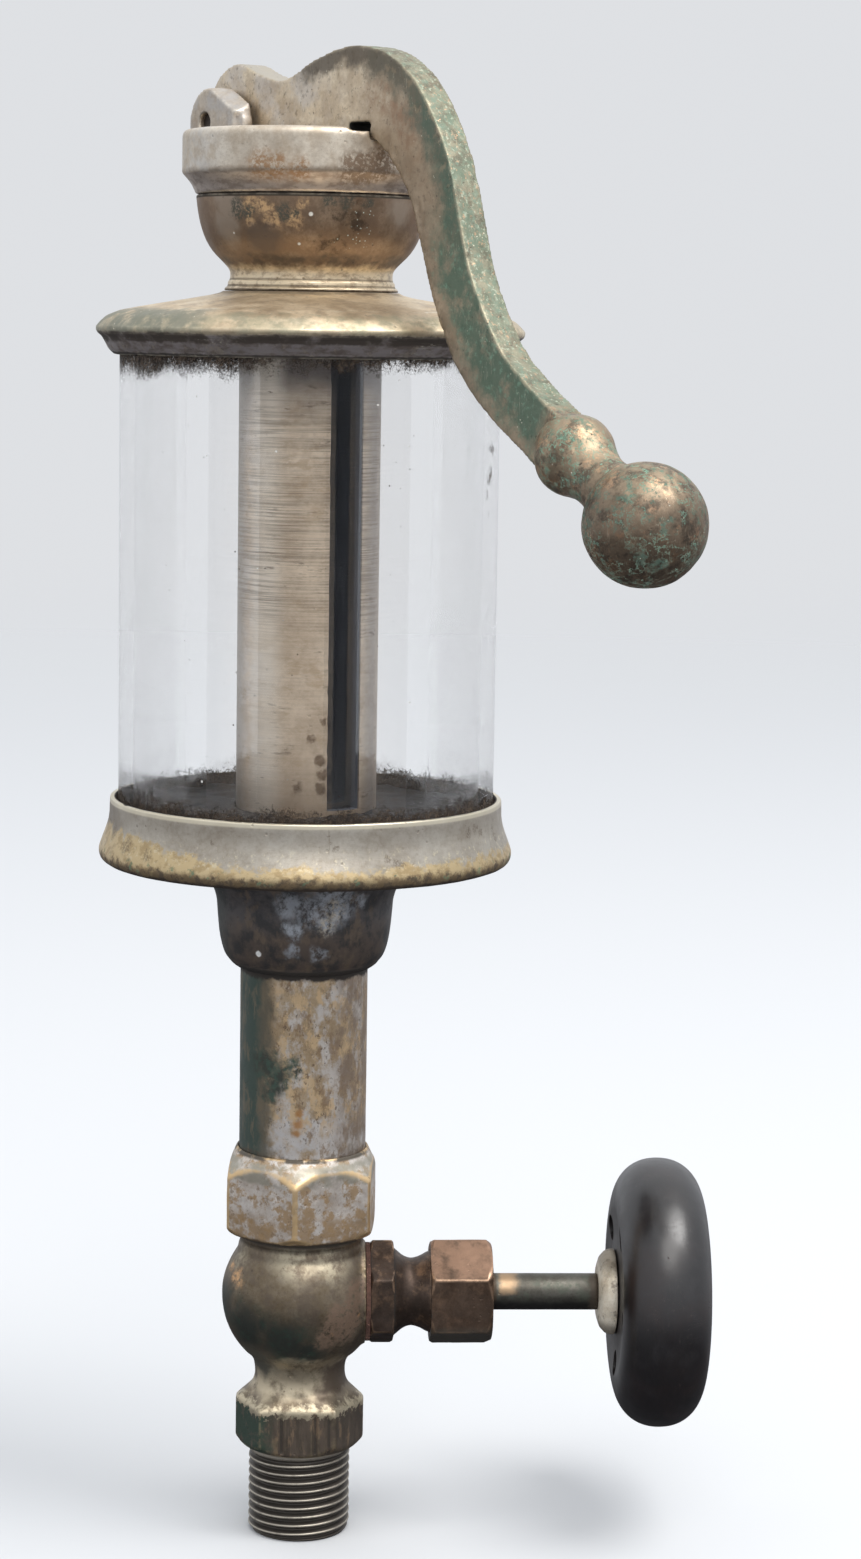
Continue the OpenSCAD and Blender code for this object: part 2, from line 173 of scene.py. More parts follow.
STEM = np.eye(4)
STEM[:3, :3] = rot_z(58) @ np.array([[0, 0, 1], [0, 1, 0], [-1, 0, 0]])
STEM[2, 3] = 50.7


# ---------------------------------------------------------------- meshes
def new_object(name, verts, faces):
    me = bpy.data.meshes.new(name)
    me.from_pydata((np.asarray(verts) * MM).tolist(), [], faces)
    me.validate()
    me.update()
    o = bpy.data.objects.new(name, me)
    SCENE.collection.objects.link(o)
    me.polygons.foreach_set("use_smooth", np.ones(len(me.polygons), bool))
    return o


def grid_faces(rows, cols, wrap_rows, start=0):
    i = np.arange(rows if wrap_rows else rows - 1)
    j = np.arange(cols)
    a = start + i[:, None] * cols + j[None, :]
    b = start + i[:, None] * cols + (j[None, :] + 1) % cols
    c = start + ((i[:, None] + 1) % rows) * cols + (j[None, :] + 1) % cols
    d = start + ((i[:, None] + 1) % rows) * cols + j[None, :]
    return np.stack([a, d, c, b], -1).reshape(-1, 4)


def lathe_data(prof, closed, seg=192, rad=None, place=None, thetas=None):
    th = np.linspace(0, 2 * math.pi, seg, endpoint=False) if thetas is None else thetas
    seg = len(th)
    r, z = prof[:, 0], prof[:, 1]
    poles = []
    if not closed:
        poles = [0 if r[0] < 1e-4 else None, len(r) - 1 if r[-1] < 1e-4 else None]
        r, z = (
            (r[1:-1], z[1:-1])
            if None not in poles
            else (r, z)
        )
    rr = np.repeat(r[:, None], seg, 1)
    zz = np.repeat(z[:, None], seg, 1)
    tt = np.repeat(th[None, :], len(r), 0)
    if rad is not None:
        rr = rad(tt, rr, zz)
    v = np.stack([rr * np.cos(tt), rr * np.sin(tt), zz], -1).reshape(-1, 3)
    f = grid_faces(len(r), seg, closed).tolist()
    if not closed and None not in poles:
        a, b = len(v), len(v) + 1
        v = np.vstack([v, [[0, 0, prof[0, 1]], [0, 0, prof[-1, 1]]]])
        last = (len(r) - 1) * seg
        f += [[a, j, (j + 1) % seg] for j in range(seg)]
        f += [[b, last + (j + 1) % seg, last + j] for j in range(seg)]
    if place is not None:
        v = v @ place[:3, :3].T + place[:3, 3]
    return v, f


def fix_normals(o):
    bm = bmesh.new()
    bm.from_mesh(o.data)
    bmesh.ops.recalc_face_normals(bm, faces=bm.faces)
    bm.to_mesh(o.data)
    bm.free()
    o.data.update()


def lathe(name, points, closed=True, round_=0.25, turn=6.0, step=2.0, **kw):
    v, f = lathe_data(profile(points, closed, round_, turn, step), closed, **kw)
    o = new_object(name, v, f)
    fix_normals(o)
    return o


def hexagon(af, corner, flat_deg, k=0.1):
    """Trims a turned section to a hexagonal bar with worn corners."""

    def rad(t, r, z):
        a = af / 2
        u = np.degrees(t) - flat_deg
        u = np.abs((u + 30) % 60 - 30)
        u = np.radians(u)
        c = (a - corner) / math.cos(math.radians(30))
        d = u - math.radians(30)
        arc_r = c * np.cos(d) + np.sqrt(np.maximum(corner**2 - (c * np.sin(d)) ** 2, 0))
        flat = a * np.tan(u) <= (a - corner) * math.tan(math.radians(30))
        big = np.where(flat, a / np.cos(u), arc_r)
        return -k * np.logaddexp(-r / k, -big / k)

    return rad


def hex_thetas(flat_deg, n):
    """Angles round a hexagon, closer at its corners."""
    u = np.linspace(-1, 1, n, endpoint=False)
    one = 30 * np.sign(u) * (1 - (1 - np.abs(u)) ** 1.45)
    return np.radians(np.concatenate([flat_deg + 60 * k + one for k in range(6)]))


def coords(me):
    co = np.zeros(len(me.vertices) * 3, np.float32)
    me.vertices.foreach_get("co", co)
    return co.reshape(-1, 3).astype(float) / MM


def normals(me):
    n = np.zeros(len(me.vertices) * 3, np.float32)
    me.vertex_normals.foreach_get("vector", n)
    return n.reshape(-1, 3).astype(float)


def put(me, co):
    me.vertices.foreach_set("co", (co * MM).astype(np.float32).ravel())
    me.update()


def float_attr(me, name, values):
    a = me.attributes.get(name) or me.attributes.new(name, "FLOAT", "POINT")
    a.data.foreach_set("value", np.asarray(values, np.float32))


def edge_list(me):
    e = np.zeros(len(me.edges) * 2, np.int32)
    me.edges.foreach_get("vertices", e)
    return e.reshape(-1, 2)


def spread(values, e, n, times):
    count = np.bincount(e.ravel(), minlength=n) + 1.0
    for _ in range(times):
        total = (
            np.bincount(e[:, 0], values[e[:, 1]], n)
            + np.bincount(e[:, 1], values[e[:, 0]], n)
            + values
        )
        values = total / count
    return values


def mark_edges(o, gain=1.0, blur=1):
    """Stores how convex (above 0.5) or hollow (below 0.5) the surface is at each point."""
    me = o.data
    co, no, e = coords(me), normals(me), edge_list(me)
    d = co[e[:, 1]] - co[e[:, 0]]
    l2 = np.maximum((d**2).sum(1), 1e-4)
    k0 = -2 * (d * no[e[:, 0]]).sum(1) / l2
    k1 = 2 * (d * no[e[:, 1]]).sum(1) / l2
    n = len(co)
    w = np.bincount(e[:, 0], minlength=n) + np.bincount(e[:, 1], minlength=n)
    k = (np.bincount(e[:, 0], k0, n) + np.bincount(e[:, 1], k1, n)) / np.maximum(w, 1)
    k = spread(np.clip(k * gain, -2, 2), e, n, blur)
    float_attr(me, "edge", np.clip(0.5 + 0.5 * k, 0, 1))


def bump_out(o, fn):
    """Moves each point along its normal by fn(points) millimetres."""
    co, no = coords(o.data), normals(o.data)
    put(o.data, co + no * fn(co)[:, None])


def remeshed(node, name, voxel, smooth, pre=None):
    """A fine, even mesh of a CAD piece, whose edges are slightly worn round."""
    me = NODE[node].data.copy()
    me.name = name
    o = bpy.data.objects.new(name, me)
    SCENE.collection.objects.link(o)
    bm = bmesh.new()
    bm.from_mesh(me)
    bmesh.ops.remove_doubles(bm, verts=bm.verts, dist=2e-6)
    bm.to_mesh(me)
    bm.free()
    if pre is not None:
        put(me, pre(coords(me)))
    r = o.modifiers.new("even", "REMESH")
    r.mode = "VOXEL"
    r.voxel_size = voxel * MM
    r.adaptivity = 0
    dg = bpy.context.evaluated_depsgraph_get()
    dg.update()
    done = bpy.data.meshes.new_from_object(o.evaluated_get(dg))
    o.modifiers.clear()
    o.data = done
    done.name = name
    co, e = coords(done), edge_list(done)
    n = len(co)
    for i in range(smooth):
        for w in (0.55, -0.5):  # shrinks, then swells back
            avg = np.column_stack(
                [
                    np.bincount(e[:, 0], co[e[:, 1], a], n)
                    + np.bincount(e[:, 1], co[e[:, 0], a], n)
                    for a in range(3)
                ]
            ) / np.maximum(np.bincount(e.ravel(), minlength=n), 1)[:, None]
            co = co + w * (avg - co)
    put(done, co)
    done.materials.clear()
    done.polygons.foreach_set("use_smooth", np.ones(len(done.polygons), bool))
    done.update()
    for a in list(done.attributes):
        if a.name not in ("position", ".edge_verts", ".corner_vert", ".corner_edge") and not a.name.startswith("."):
            if a.name not in ("sharp_face",):
                try:
                    done.attributes.remove(a)
                except RuntimeError:
                    pass
    return o


def add_mesh(o, verts, faces):
    """Joins more faces to an object's own mesh."""
    me = o.data
    bm = bmesh.new()
    bm.from_mesh(me)
    new = [bm.verts.new(v) for v in (np.asarray(verts) * MM).tolist()]
    for f in faces:
        bm.faces.new([new[i] for i in f]).smooth = True
    bmesh.ops.recalc_face_normals(bm, faces=bm.faces)
    bm.to_mesh(me)
    bm.free()
    me.update()


# ---------------------------------------------------------------- materials
class Mat:
    """A layered procedural finish. Positions are in millimetres, in the row frame."""

    def __init__(self, name, color, metal, rough):
        self.m = bpy.data.materials.new(name)
        self.m.use_nodes = True
        self.t = self.m.node_tree
        self.t.nodes.clear()
        self.out = self.node("OutputMaterial")
        self.p = self.node("BsdfPrincipled")
        self.t.links.new(self.p.outputs[0], self.out.inputs[0])
        tc = self.node("TexCoord")
        mp = self.node("Mapping")
        mp.inputs["Scale"].default_value = (1000, 1000, 1000)
        self.t.links.new(tc.outputs["Object"], mp.inputs["Vector"])
        self.P = mp.outputs[0]
        self.col, self.met, self.rgh = color, metal, rough
        self.h = None
        self.cache = {}

    def node(self, kind):
        return self.t.nodes.new("ShaderNode" + kind)

    def put(self, socket, value):
        if isinstance(value, bpy.types.NodeSocket):
            self.t.links.new(value, socket)
        elif isinstance(value, (tuple, list)):
            v = tuple(value)
            if len(socket.default_value) == 4 and len(v) == 3:
                v = v + (1.0,)
            socket.default_value = v
        else:
            socket.default_value = value

    def vec(self, op, a, b=None, scale=None):
        n = self.node("VectorMath")
        n.operation = op
        self.put(n.inputs[0], a)
        if b is not None:
            self.put(n.inputs[1], b)
        if scale is not None:
            self.put(n.inputs["Scale"], scale)
        return n.outputs["Value"] if op in ("DISTANCE", "LENGTH", "DOT_PRODUCT") else n.outputs[0]

    def math(self, op, a, b=None, clamp=False):
        n = self.node("Math")
        n.operation = op
        n.use_clamp = clamp
        self.put(n.inputs[0], a)
        if b is not None:
            self.put(n.inputs[1], b)
        return n.outputs[0]

    def step(self, v, a, b, lo=0.0, hi=1.0):
        """Smooth rise from lo to hi as v goes from a to b."""
        n = self.node("MapRange")
        n.interpolation_type = "SMOOTHSTEP"
        self.put(n.inputs[0], v)
        if a > b:
            a, b, lo, hi = b, a, hi, lo
        n.inputs[1].default_value, n.inputs[2].default_value = a, b
        n.inputs[3].default_value, n.inputs[4].default_value = lo, hi
        return n.outputs[0]

    def noise(self, size, detail=4, rough=0.6, seed=0, at=None, stretch=None, color=False, warp=0.0):
        n = self.node("TexNoise")
        n.inputs["Scale"].default_value = 1.0 / size
        n.inputs["Detail"].default_value = detail
        n.inputs["Roughness"].default_value = rough
        n.inputs["Distortion"].default_value = warp
        v = self.P if at is None else at
        if stretch is not None:
            v = self.vec("MULTIPLY", v, stretch)
        if seed:
            v = self.vec("ADD", v, (seed * 91.7, seed * -57.3, seed * 33.1))
        self.put(n.inputs["Vector"], v)
        return n.outputs[1 if color else 0]

    def cells(self, size, seed=0, at=None, stretch=None, random=1.0):
        n = self.node("TexVoronoi")
        n.inputs["Scale"].default_value = 1.0 / size
        n.inputs["Randomness"].default_value = random
        v = self.P if at is None else at
        if stretch is not None:
            v = self.vec("MULTIPLY", v, stretch)
        if seed:
            v = self.vec("ADD", v, (seed * 71.3, seed * 39.9, seed * -83.1))
        self.put(n.inputs["Vector"], v)
        return n.outputs["Distance"]

    def warped(self, size, amp, seed=0):
        key = (size, amp, seed)
        if key not in self.cache:
            c = self.noise(size, 3, 0.6, seed=seed, color=True)
            d = self.vec("SUBTRACT", c, (0.5, 0.5, 0.5))
            d = self.vec("SCALE", d, scale=amp * 2)
            self.cache[key] = self.vec("ADD", self.P, d)
        return self.cache[key]

    def axis(self, i, at=None):
        key = ("axis", i, id(at) if at is not None else 0)
        if key not in self.cache:
            n = self.node("SeparateXYZ")
            self.put(n.inputs[0], self.P if at is None else at)
            self.cache[key] = (n.outputs[i], at)
        return self.cache[key][0]

    def side(self, deg, at=None):
        """Distance from the main axis towards azimuth deg of the row frame."""
        a = math.radians(deg)
        return self.vec("DOT_PRODUCT", self.P if at is None else at, (math.cos(a), math.sin(a), 0))

    def z(self, lo, hi, soft=0.4, at=None):
        v = self.axis(2, at)
        a = self.step(v, lo - soft, lo + soft)
        b = self.step(v, hi + soft, hi - soft)
        return self.math("MULTIPLY", a, b)

    def spots(self, places, at=None):
        """places: (x, y, z, radius, soft edge), all in millimetres."""
        out = None
        for x, y, z, r, soft in places:
            d = self.vec("DISTANCE", self.P if at is None else at, (x, y, z))
            s = self.step(d, r + soft, r - soft)
            out = s if out is None else self.math("MAXIMUM", out, s)
        return out

    def attr(self, name):
        n = self.node("Attribute")
        n.attribute_name = name
        return n.outputs["Fac"]

    def mul(self, a, b):
        return self.math("MULTIPLY", a, b, clamp=True)

    def add(self, a, b):
        return self.math("ADD", a, b, clamp=True)

    def inv(self, a):
        return self.math("SUBTRACT", 1.0, a, clamp=True)

    def mixc(self, f, a, b, mode="MIX"):
        n = self.node("Mix")
        n.data_type = "RGBA"
        n.blend_type = mode
        n.clamp_factor = True
        self.put(n.inputs[0], f)
        self.put(n.inputs[6], a)
        self.put(n.inputs[7], b)
        return n.outputs[2]

    def mixf(self, f, a, b):
        n = self.node("Mix")
        n.data_type = "FLOAT"
        n.clamp_factor = True
        self.put(n.inputs[0], f)
        self.put(n.inputs[2], a)
        self.put(n.inputs[3], b)
        return n.outputs[0]

    def layer(self, mask, color=None, metal=None, rough=None):
        if color is not None:
            self.col = self.mixc(mask, self.col, color)
        if metal is not None:
            self.met = self.mixf(mask, self.met, metal)
        if rough is not None:
            self.rgh = self.mixf(mask, self.rgh, rough)
        return self

    def tint(self, mask, color, amount=1.0):
        """Multiplies the colour so far."""
        f = mask if amount == 1.0 else self.math("MULTIPLY", mask, amount)
        self.col = self.mixc(f, self.col, color, "MULTIPLY")
        return self

    def height(self, value, amp):
        v = self.math("MULTIPLY", value, amp)
        self.h = v if self.h is None else self.math("ADD", self.h, v)
        return self

    def done(self):
        self.put(self.p.inputs["Base Color"], self.col)
        self.put(self.p.inputs["Metallic"], self.met)
        self.put(self.p.inputs["Roughness"], self.rgh)
        if self.h is not None:
            b = self.node("Bump")
            b.inputs["Strength"].default_value = 1.0
            b.inputs["Distance"].default_value = 0.001
            self.put(b.inputs["Height"], self.h)
            self.t.links.new(b.outputs[0], self.p.inputs["Normal"])
        return self.m


UMBER = (0.06, 0.042, 0.03)
BLACK = (0.016, 0.015, 0.015)


def common(m, pits=0.5, grain=0.012, pit_size=1.6, seed=0, brush=None):
    """Fine tool marks, tiny pits and a mottled sheen that every old metal piece here has."""
    fine = m.noise(0.35, 3, 0.6, seed=seed + 3)
    m.height(fine, grain)
    m.height(m.noise(2.6, 4, 0.6, seed=seed + 4), grain * 3.0)
    if brush is not None:
        m.height(m.noise(0.5, 2, 0.5, seed=seed + 5, stretch=brush), grain * 0.9)
    if pits:
        cell = m.cells(pit_size, seed=seed + 6, at=m.warped(1.1, 0.35, seed + 7))
        gate = m.step(m.noise(7.0, 3, 0.6, seed=seed + 8), 0.50, 0.62)
        pit = m.mul(m.step(cell, 0.19, 0.08), gate)
        m.layer(m.math("MULTIPLY", pit, pits * 0.8), UMBER, 0.3, 0.75)
        m.height(pit, -0.05)
    m.rgh = m.math("ADD", m.rgh, m.step(m.noise(4.2, 4, 0.65, seed=seed + 9), 0.3, 0.7, -0.05, 0.10))


def mottle(m, seed, dark=(0.70, 0.67, 0.64), size=6.0, stretch=None, amount=0.9):
    """Soft tarnish in three sizes over the whole piece."""
    m.tint(m.step(m.noise(size * 2.2, 4, 0.6, seed=seed, stretch=stretch), 0.36, 0.66), dark, amount)
    m.tint(m.step(m.noise(size * 0.6, 5, 0.68, seed=seed + 1, stretch=stretch), 0.38, 0.70), dark, amount * 0.75)
    m.tint(m.step(m.noise(size * 0.15, 4, 0.7, seed=seed + 2), 0.42, 0.74), dark, amount * 0.8)


def blot(m, color, size, level, soft, seed, amount=1.0, within=None, metal=None, rough=None, stretch=None):
    """Patches of another tone with a ragged, soft edge."""
    f = m.step(m.noise(size, 6, 0.68, seed=seed, stretch=stretch), level - soft, level + soft)
    if within is not None:
        f = m.mul(f, within)
    if amount != 1.0:
        f = m.math("MULTIPLY", f, amount)
    m.layer(f, color, metal, rough)


def stain(m, places, color, wander, seed, amount=1.0, broken=0.0, metal=None, rough=None, within=None, deep=0.0):
    """A stain at set places whose edge wanders; broken is the size of the gaps in it."""
    f = m.spots(places, m.warped(wander[0], wander[1], seed))
    if broken:
        f = m.mul(f, m.step(m.noise(broken, 6, 0.68, seed=seed + 1), 0.36, 0.58))
    if within is not None:
        f = m.mul(f, within)
    if deep:
        m.height(f, deep)
    if amount != 1.0:
        f = m.math("MULTIPLY", f, amount)
    m.layer(f, color, metal, rough)


def scratch(m, seed, color, amount=0.5, stretch=(0.10, 1.0, 1.3), size=0.9, gate=0.5, width=0.008, within=None):
    line = m.noise(size, 2, 0.4, seed=seed, stretch=stretch)
    f = m.step(m.math("ABSOLUTE", m.math("SUBTRACT", line, 0.5)), width, width * 0.2)
    f = m.mul(f, m.step(m.noise(7, 3, 0.6, seed=seed + 1), gate, gate + 0.10))
    if within is not None:
        f = m.mul(f, within)
    m.height(f, -0.006)
    m.layer(m.math("MULTIPLY", f, amount), color)


def wear(m, color, seed, amount=0.35, hollow=0.7, dirt=(0.04, 0.032, 0.025), rough=0.34, within=None):
    """Rubbed brighter on edges and darker with old dirt in hollows."""
    e = m.attr("edge")
    f = m.mul(m.step(e, 0.58, 0.84), m.step(m.noise(2.6, 4, 0.65, seed=seed), 0.36, 0.64))
    if within is not None:
        f = m.mul(f, within)
    m.layer(m.math("MULTIPLY", f, amount), color, 0.95, rough)
    m.layer(m.math("MULTIPLY", m.step(e, 0.44, 0.26), hollow), dirt, 0.4, 0.7)


def mat_cap():
    m = Mat("cap_finish_and_shade", (0.80, 0.725, 0.615), 0.88, 0.46)
    w = m.warped(5.0, 3.0, 1)
    mottle(m, 2, (0.76, 0.73, 0.70), 5.0)
    blot(m, (0.64, 0.645, 0.65), 7.0, 0.52, 0.10, 6, 0.6, m.step(m.side(-145, w), 4, 20))
    blot(m, (0.50, 0.405, 0.30), 4.5, 0.56, 0.09, 7, 0.6)
    cove = m.z(274.5, 279.7, 0.25)
    m.layer(m.math("MULTIPLY", cove, 0.9), (0.60, 0.53, 0.485), 0.85, 0.42)
    blot(m, (0.30, 0.235, 0.195), 3.0, 0.54, 0.10, 8, 0.7, cove, stretch=(1, 1, 2.4))
    stain(m, [(14.5, -21.0, 280.5, 3.0, 2.0), (17.4, -19.2, 280.2, 2.6, 1.6), (20.0, -16.0, 279.9, 2.0, 1.4)], (0.33, 0.20, 0.11), (2.6, 2.2, 9), 0.7, 1.1, 0.8, 0.5)
    stain(m, [(25.3, -5.5, 280.2, 3.2, 2.2), (25.6, -1.0, 281.0, 3.0, 2.0)], (0.25, 0.18, 0.125), (2.6, 2.2, 11), 0.7, 2.0, 0.8, 0.5)
    under = m.mul(m.z(279.5, 280.6, 0.35, m.warped(2.4, 0.9, 12)), m.step(m.noise(5, 4, 0.6, seed=13), 0.40, 0.60))
    m.layer(m.math("MULTIPLY", under, 0.5), (0.26, 0.185, 0.13), 0.7, 0.55)
    m.layer(m.z(273.5, 275.2, 0.15), (0.07, 0.055, 0.045), 0.4, 0.7)
    # the far left of the cap tinted darker: painted shade on that side
    m.tint(m.step(m.axis(0), -14.0, -16.0), (0.80, 0.78, 0.77))
    # the slot that the lever works in, painted near black: painted shade inside the slot, with old oil
    across = m.math("ABSOLUTE", m.axis(1))
    inside = m.step(m.vec("LENGTH", m.vec("MULTIPLY", m.P, (1, 1, 0))), 24.6, 23.9)
    slot = m.mul(m.mul(m.step(across, 7.5, 7.2), inside), m.mul(m.step(m.axis(2), 280.6, 281.2), m.step(m.axis(2), 288.5, 288.2)))
    m.layer(m.math("MULTIPLY", slot, 0.95), (0.03, 0.025, 0.021), 0.2, 0.75)
    wear(m, (0.88, 0.81, 0.69), 14, 0.5, 0.75)
    scratch(m, 15, (0.30, 0.25, 0.2), 0.5, (0.5, 0.5, 1.6), gate=0.50)
    common(m, 0.4, 0.010, 1.9, 16)
    return m.done()


def mat_bowl():
    m = Mat("bowl_finish", (0.36, 0.265, 0.185), 0.8, 0.45)
    mottle(m, 2, (0.72, 0.68, 0.64), 4.0)
    blot(m, (0.225, 0.152, 0.102), 5.0, 0.47, 0.12, 5, 0.85)
    stain(m, [(4.2, -22.5, 274.0, 3.0, 2.0), (22.6, 6.4, 272.5, 2.8, 2.2), (3.0, -21.5, 269.0, 3.0, 2.0)], (0.36, 0.285, 0.22), (4.0, 3.0, 6), 0.4, 1.4)
    stain(m, [(9.5, -20.6, 273.8, 1.6, 0.9), (12.4, -19.2, 273.0, 1.8, 1.0), (16.9, -14.8, 270.6, 1.5, 1.0), (17.6, -13.9, 273.8, 1.2, 0.8), (13.4, -17.6, 270.2, 1.5, 1.0), (9.0, -19.8, 270.6, 1.1, 0.8)], (0.55, 0.36, 0.19), (2.2, 2.4, 8), 0.85, 1.2, 0.85, 0.46)
    # large dark patch on the front of the bowl
    stain(m, [(21.5, -4.7, 270.1, 5.6, 2.4), (21.3, -7.1, 270.6, 4.2, 2.0), (19.4, -8.4, 266.7, 4.0, 2.0), (18.2, -11.0, 267.4, 3.4, 1.8), (22.2, 0.6, 270.0, 3.6, 1.8), (16.6, -12.4, 265.8, 2.6, 1.6)], (0.052, 0.037, 0.027), (3.4, 2.6, 10), 0.95, 0.0, 0.5, 0.46)
    blot(m, (0.045, 0.034, 0.027), 2.6, 0.56, 0.08, 31, 0.7, m.spots([(21.3, -6.1, 270.6, 5.0, 2.6), (19.4, -8.4, 266.7, 4.0, 2.2)], m.warped(2.0, 1.6, 16)))
    stain(m, [(6.9, -21.6, 272.4, 2.2, 0.9), (9.2, -20.8, 272.0, 1.4, 0.8), (15.6, -16.5, 272.0, 1.6, 0.8), (17.0, -15.0, 271.6, 1.0, 0.6), (21.7, -6.2, 274.4, 1.6, 1.0), (20.4, -9.6, 274.5, 1.4, 0.8), (22.6, -1.6, 274.3, 1.2, 0.8)], (0.10, 0.092, 0.07), (1.8, 1.8, 12), 0.9, 1.2, 0.5, 0.55)
    stain(m, [(10.5, -18.0, 266.8, 3.0, 1.8)], (0.19, 0.14, 0.105), (2.6, 2.2, 14), 0.7, 1.6)
    speck = m.mul(m.spots([(20.4, -5.4, 266.7, 2.4, 1.6), (21.0, -1.6, 267.2, 1.8, 1.2), (22.2, -2.6, 271.0, 2.4, 2.0)], m.warped(2.0, 1.6, 16)), m.step(m.cells(0.8, 5), 0.22, 0.12))
    m.layer(speck, (0.50, 0.56, 0.49), 0.1, 0.7)
    m.layer(m.spots([(18.9, -12.5, 271.6, 0.42, 0.15), (4.6, -20.9, 268.0, 0.28, 0.1), (15.9, -13.2, 265.9, 0.3, 0.12)]), (0.62, 0.60, 0.54), 0.1, 0.7)
    w = m.warped(2.6, 1.4, 17)
    neck = m.z(256.0, 261.6, 0.9, w)
    m.layer(neck, (0.78, 0.65, 0.46), 0.92, 0.40)
    blot(m, (0.36, 0.27, 0.18), 3.2, 0.54, 0.08, 18, 0.8, neck, stretch=(1, 1, 1.8))
    m.layer(m.mul(m.z(261.8, 263.8, 0.7, w), m.step(m.noise(3, 4, 0.6, seed=19), 0.34, 0.6)), (0.13, 0.10, 0.075), 0.7, 0.5)
    m.layer(m.z(255.5, 257.3, 0.15), (0.11, 0.08, 0.055), 0.6, 0.6)
    m.layer(m.z(275.0, 277, 0.12), (0.05, 0.04, 0.03), 0.4, 0.7)
    wear(m, (0.66, 0.56, 0.42), 20, 0.25, 0.6)
    common(m, 0.5, 0.012, 1.7, 21)
    return m.done()


def mat_cover():
    m = Mat("cover_finish_and_shade", (0.88, 0.745, 0.545), 0.9, 0.46)
    w = m.warped(6.0, 3.5, 1)
    mottle(m, 2, (0.76, 0.72, 0.68), 6.0, (1, 1, 1.8))
    blot(m, (0.50, 0.395, 0.28), 6.0, 0.57, 0.07, 5, 0.7, stretch=(1, 1, 2.0))
    rad = m.vec("LENGTH", m.vec("MULTIPLY", w, (1, 1, 0)))
    shoulder = m.mul(m.step(rad, 38.0, 40.4), m.z(248.6, 254, 0.5))
    m.layer(m.mul(shoulder, m.step(m.noise(6, 5, 0.65, seed=6), 0.34, 0.64)), (0.50, 0.43, 0.295), 0.92, 0.42)
    blot(m, (0.24, 0.235, 0.165), 4.0, 0.55, 0.09, 7, 0.6, shoulder, 0.5, 0.52, (1, 1, 1.6))
    green = m.mul(m.step(m.side(-125, w), 14, 23), m.step(rad, 34, 38.5))
    m.layer(m.math("MULTIPLY", m.mul(green, m.step(m.noise(4.5, 5, 0.65, seed=8), 0.28, 0.54)), 0.85), (0.185, 0.195, 0.155), 0.55, 0.52)
    ring = m.mul(m.step(m.math("ABSOLUTE", m.math("SUBTRACT", rad, 36.4)), 0.5, 0.1), m.step(m.noise(9, 4, 0.6, seed=9), 0.42, 0.60))
    m.layer(m.math("MULTIPLY", ring, 0.7), (0.84, 0.80, 0.66), 0.9, 0.36)
    m.layer(m.mul(m.step(m.cells(1.3, 10), 0.15, 0.09), m.step(m.noise(9, 3, 0.6, seed=11), 0.52, 0.64)), (0.74, 0.68, 0.54), 0.3, 0.6)
    lip = m.z(240, 248.35, 0.3, m.warped(3.0, 0.5, 2))
    m.layer(lip, (0.315, 0.28, 0.275), 0.75, 0.48)
    blot(m, (0.15, 0.115, 0.095), 4.0, 0.52, 0.10, 12, 0.8, lip, stretch=(1, 1, 2.4))
    blot(m, (0.46, 0.39, 0.32), 2.4, 0.60, 0.06, 13, 0.7, lip, 0.9, 0.42)
    # dark band just under the rim: dirt, and painted shade under the overhang
    m.layer(m.mul(m.z(246.6, 248.6, 0.3, m.warped(2.5, 0.7, 3)), m.step(m.noise(7, 4, 0.6, seed=14), 0.30, 0.50)), (0.055, 0.042, 0.034), 0.4, 0.65)
    m.layer(m.z(240, 244.6, 0.15, m.warped(2.0, 0.3, 15)), (0.035, 0.028, 0.024), 0.3, 0.7)
    near = m.step(rad, 19.8, 17.4)
    m.layer(m.math("MULTIPLY", near, 0.7), (0.17, 0.125, 0.085), 0.7, 0.55)
    wear(m, (0.80, 0.72, 0.54), 16, 0.25, 0.6)
    scratch(m, 17, (0.86, 0.80, 0.66), 0.35, (1.2, 0.12, 1.0), gate=0.52)
    common(m, 0.5, 0.011, 2.2, 18)
    return m.done()


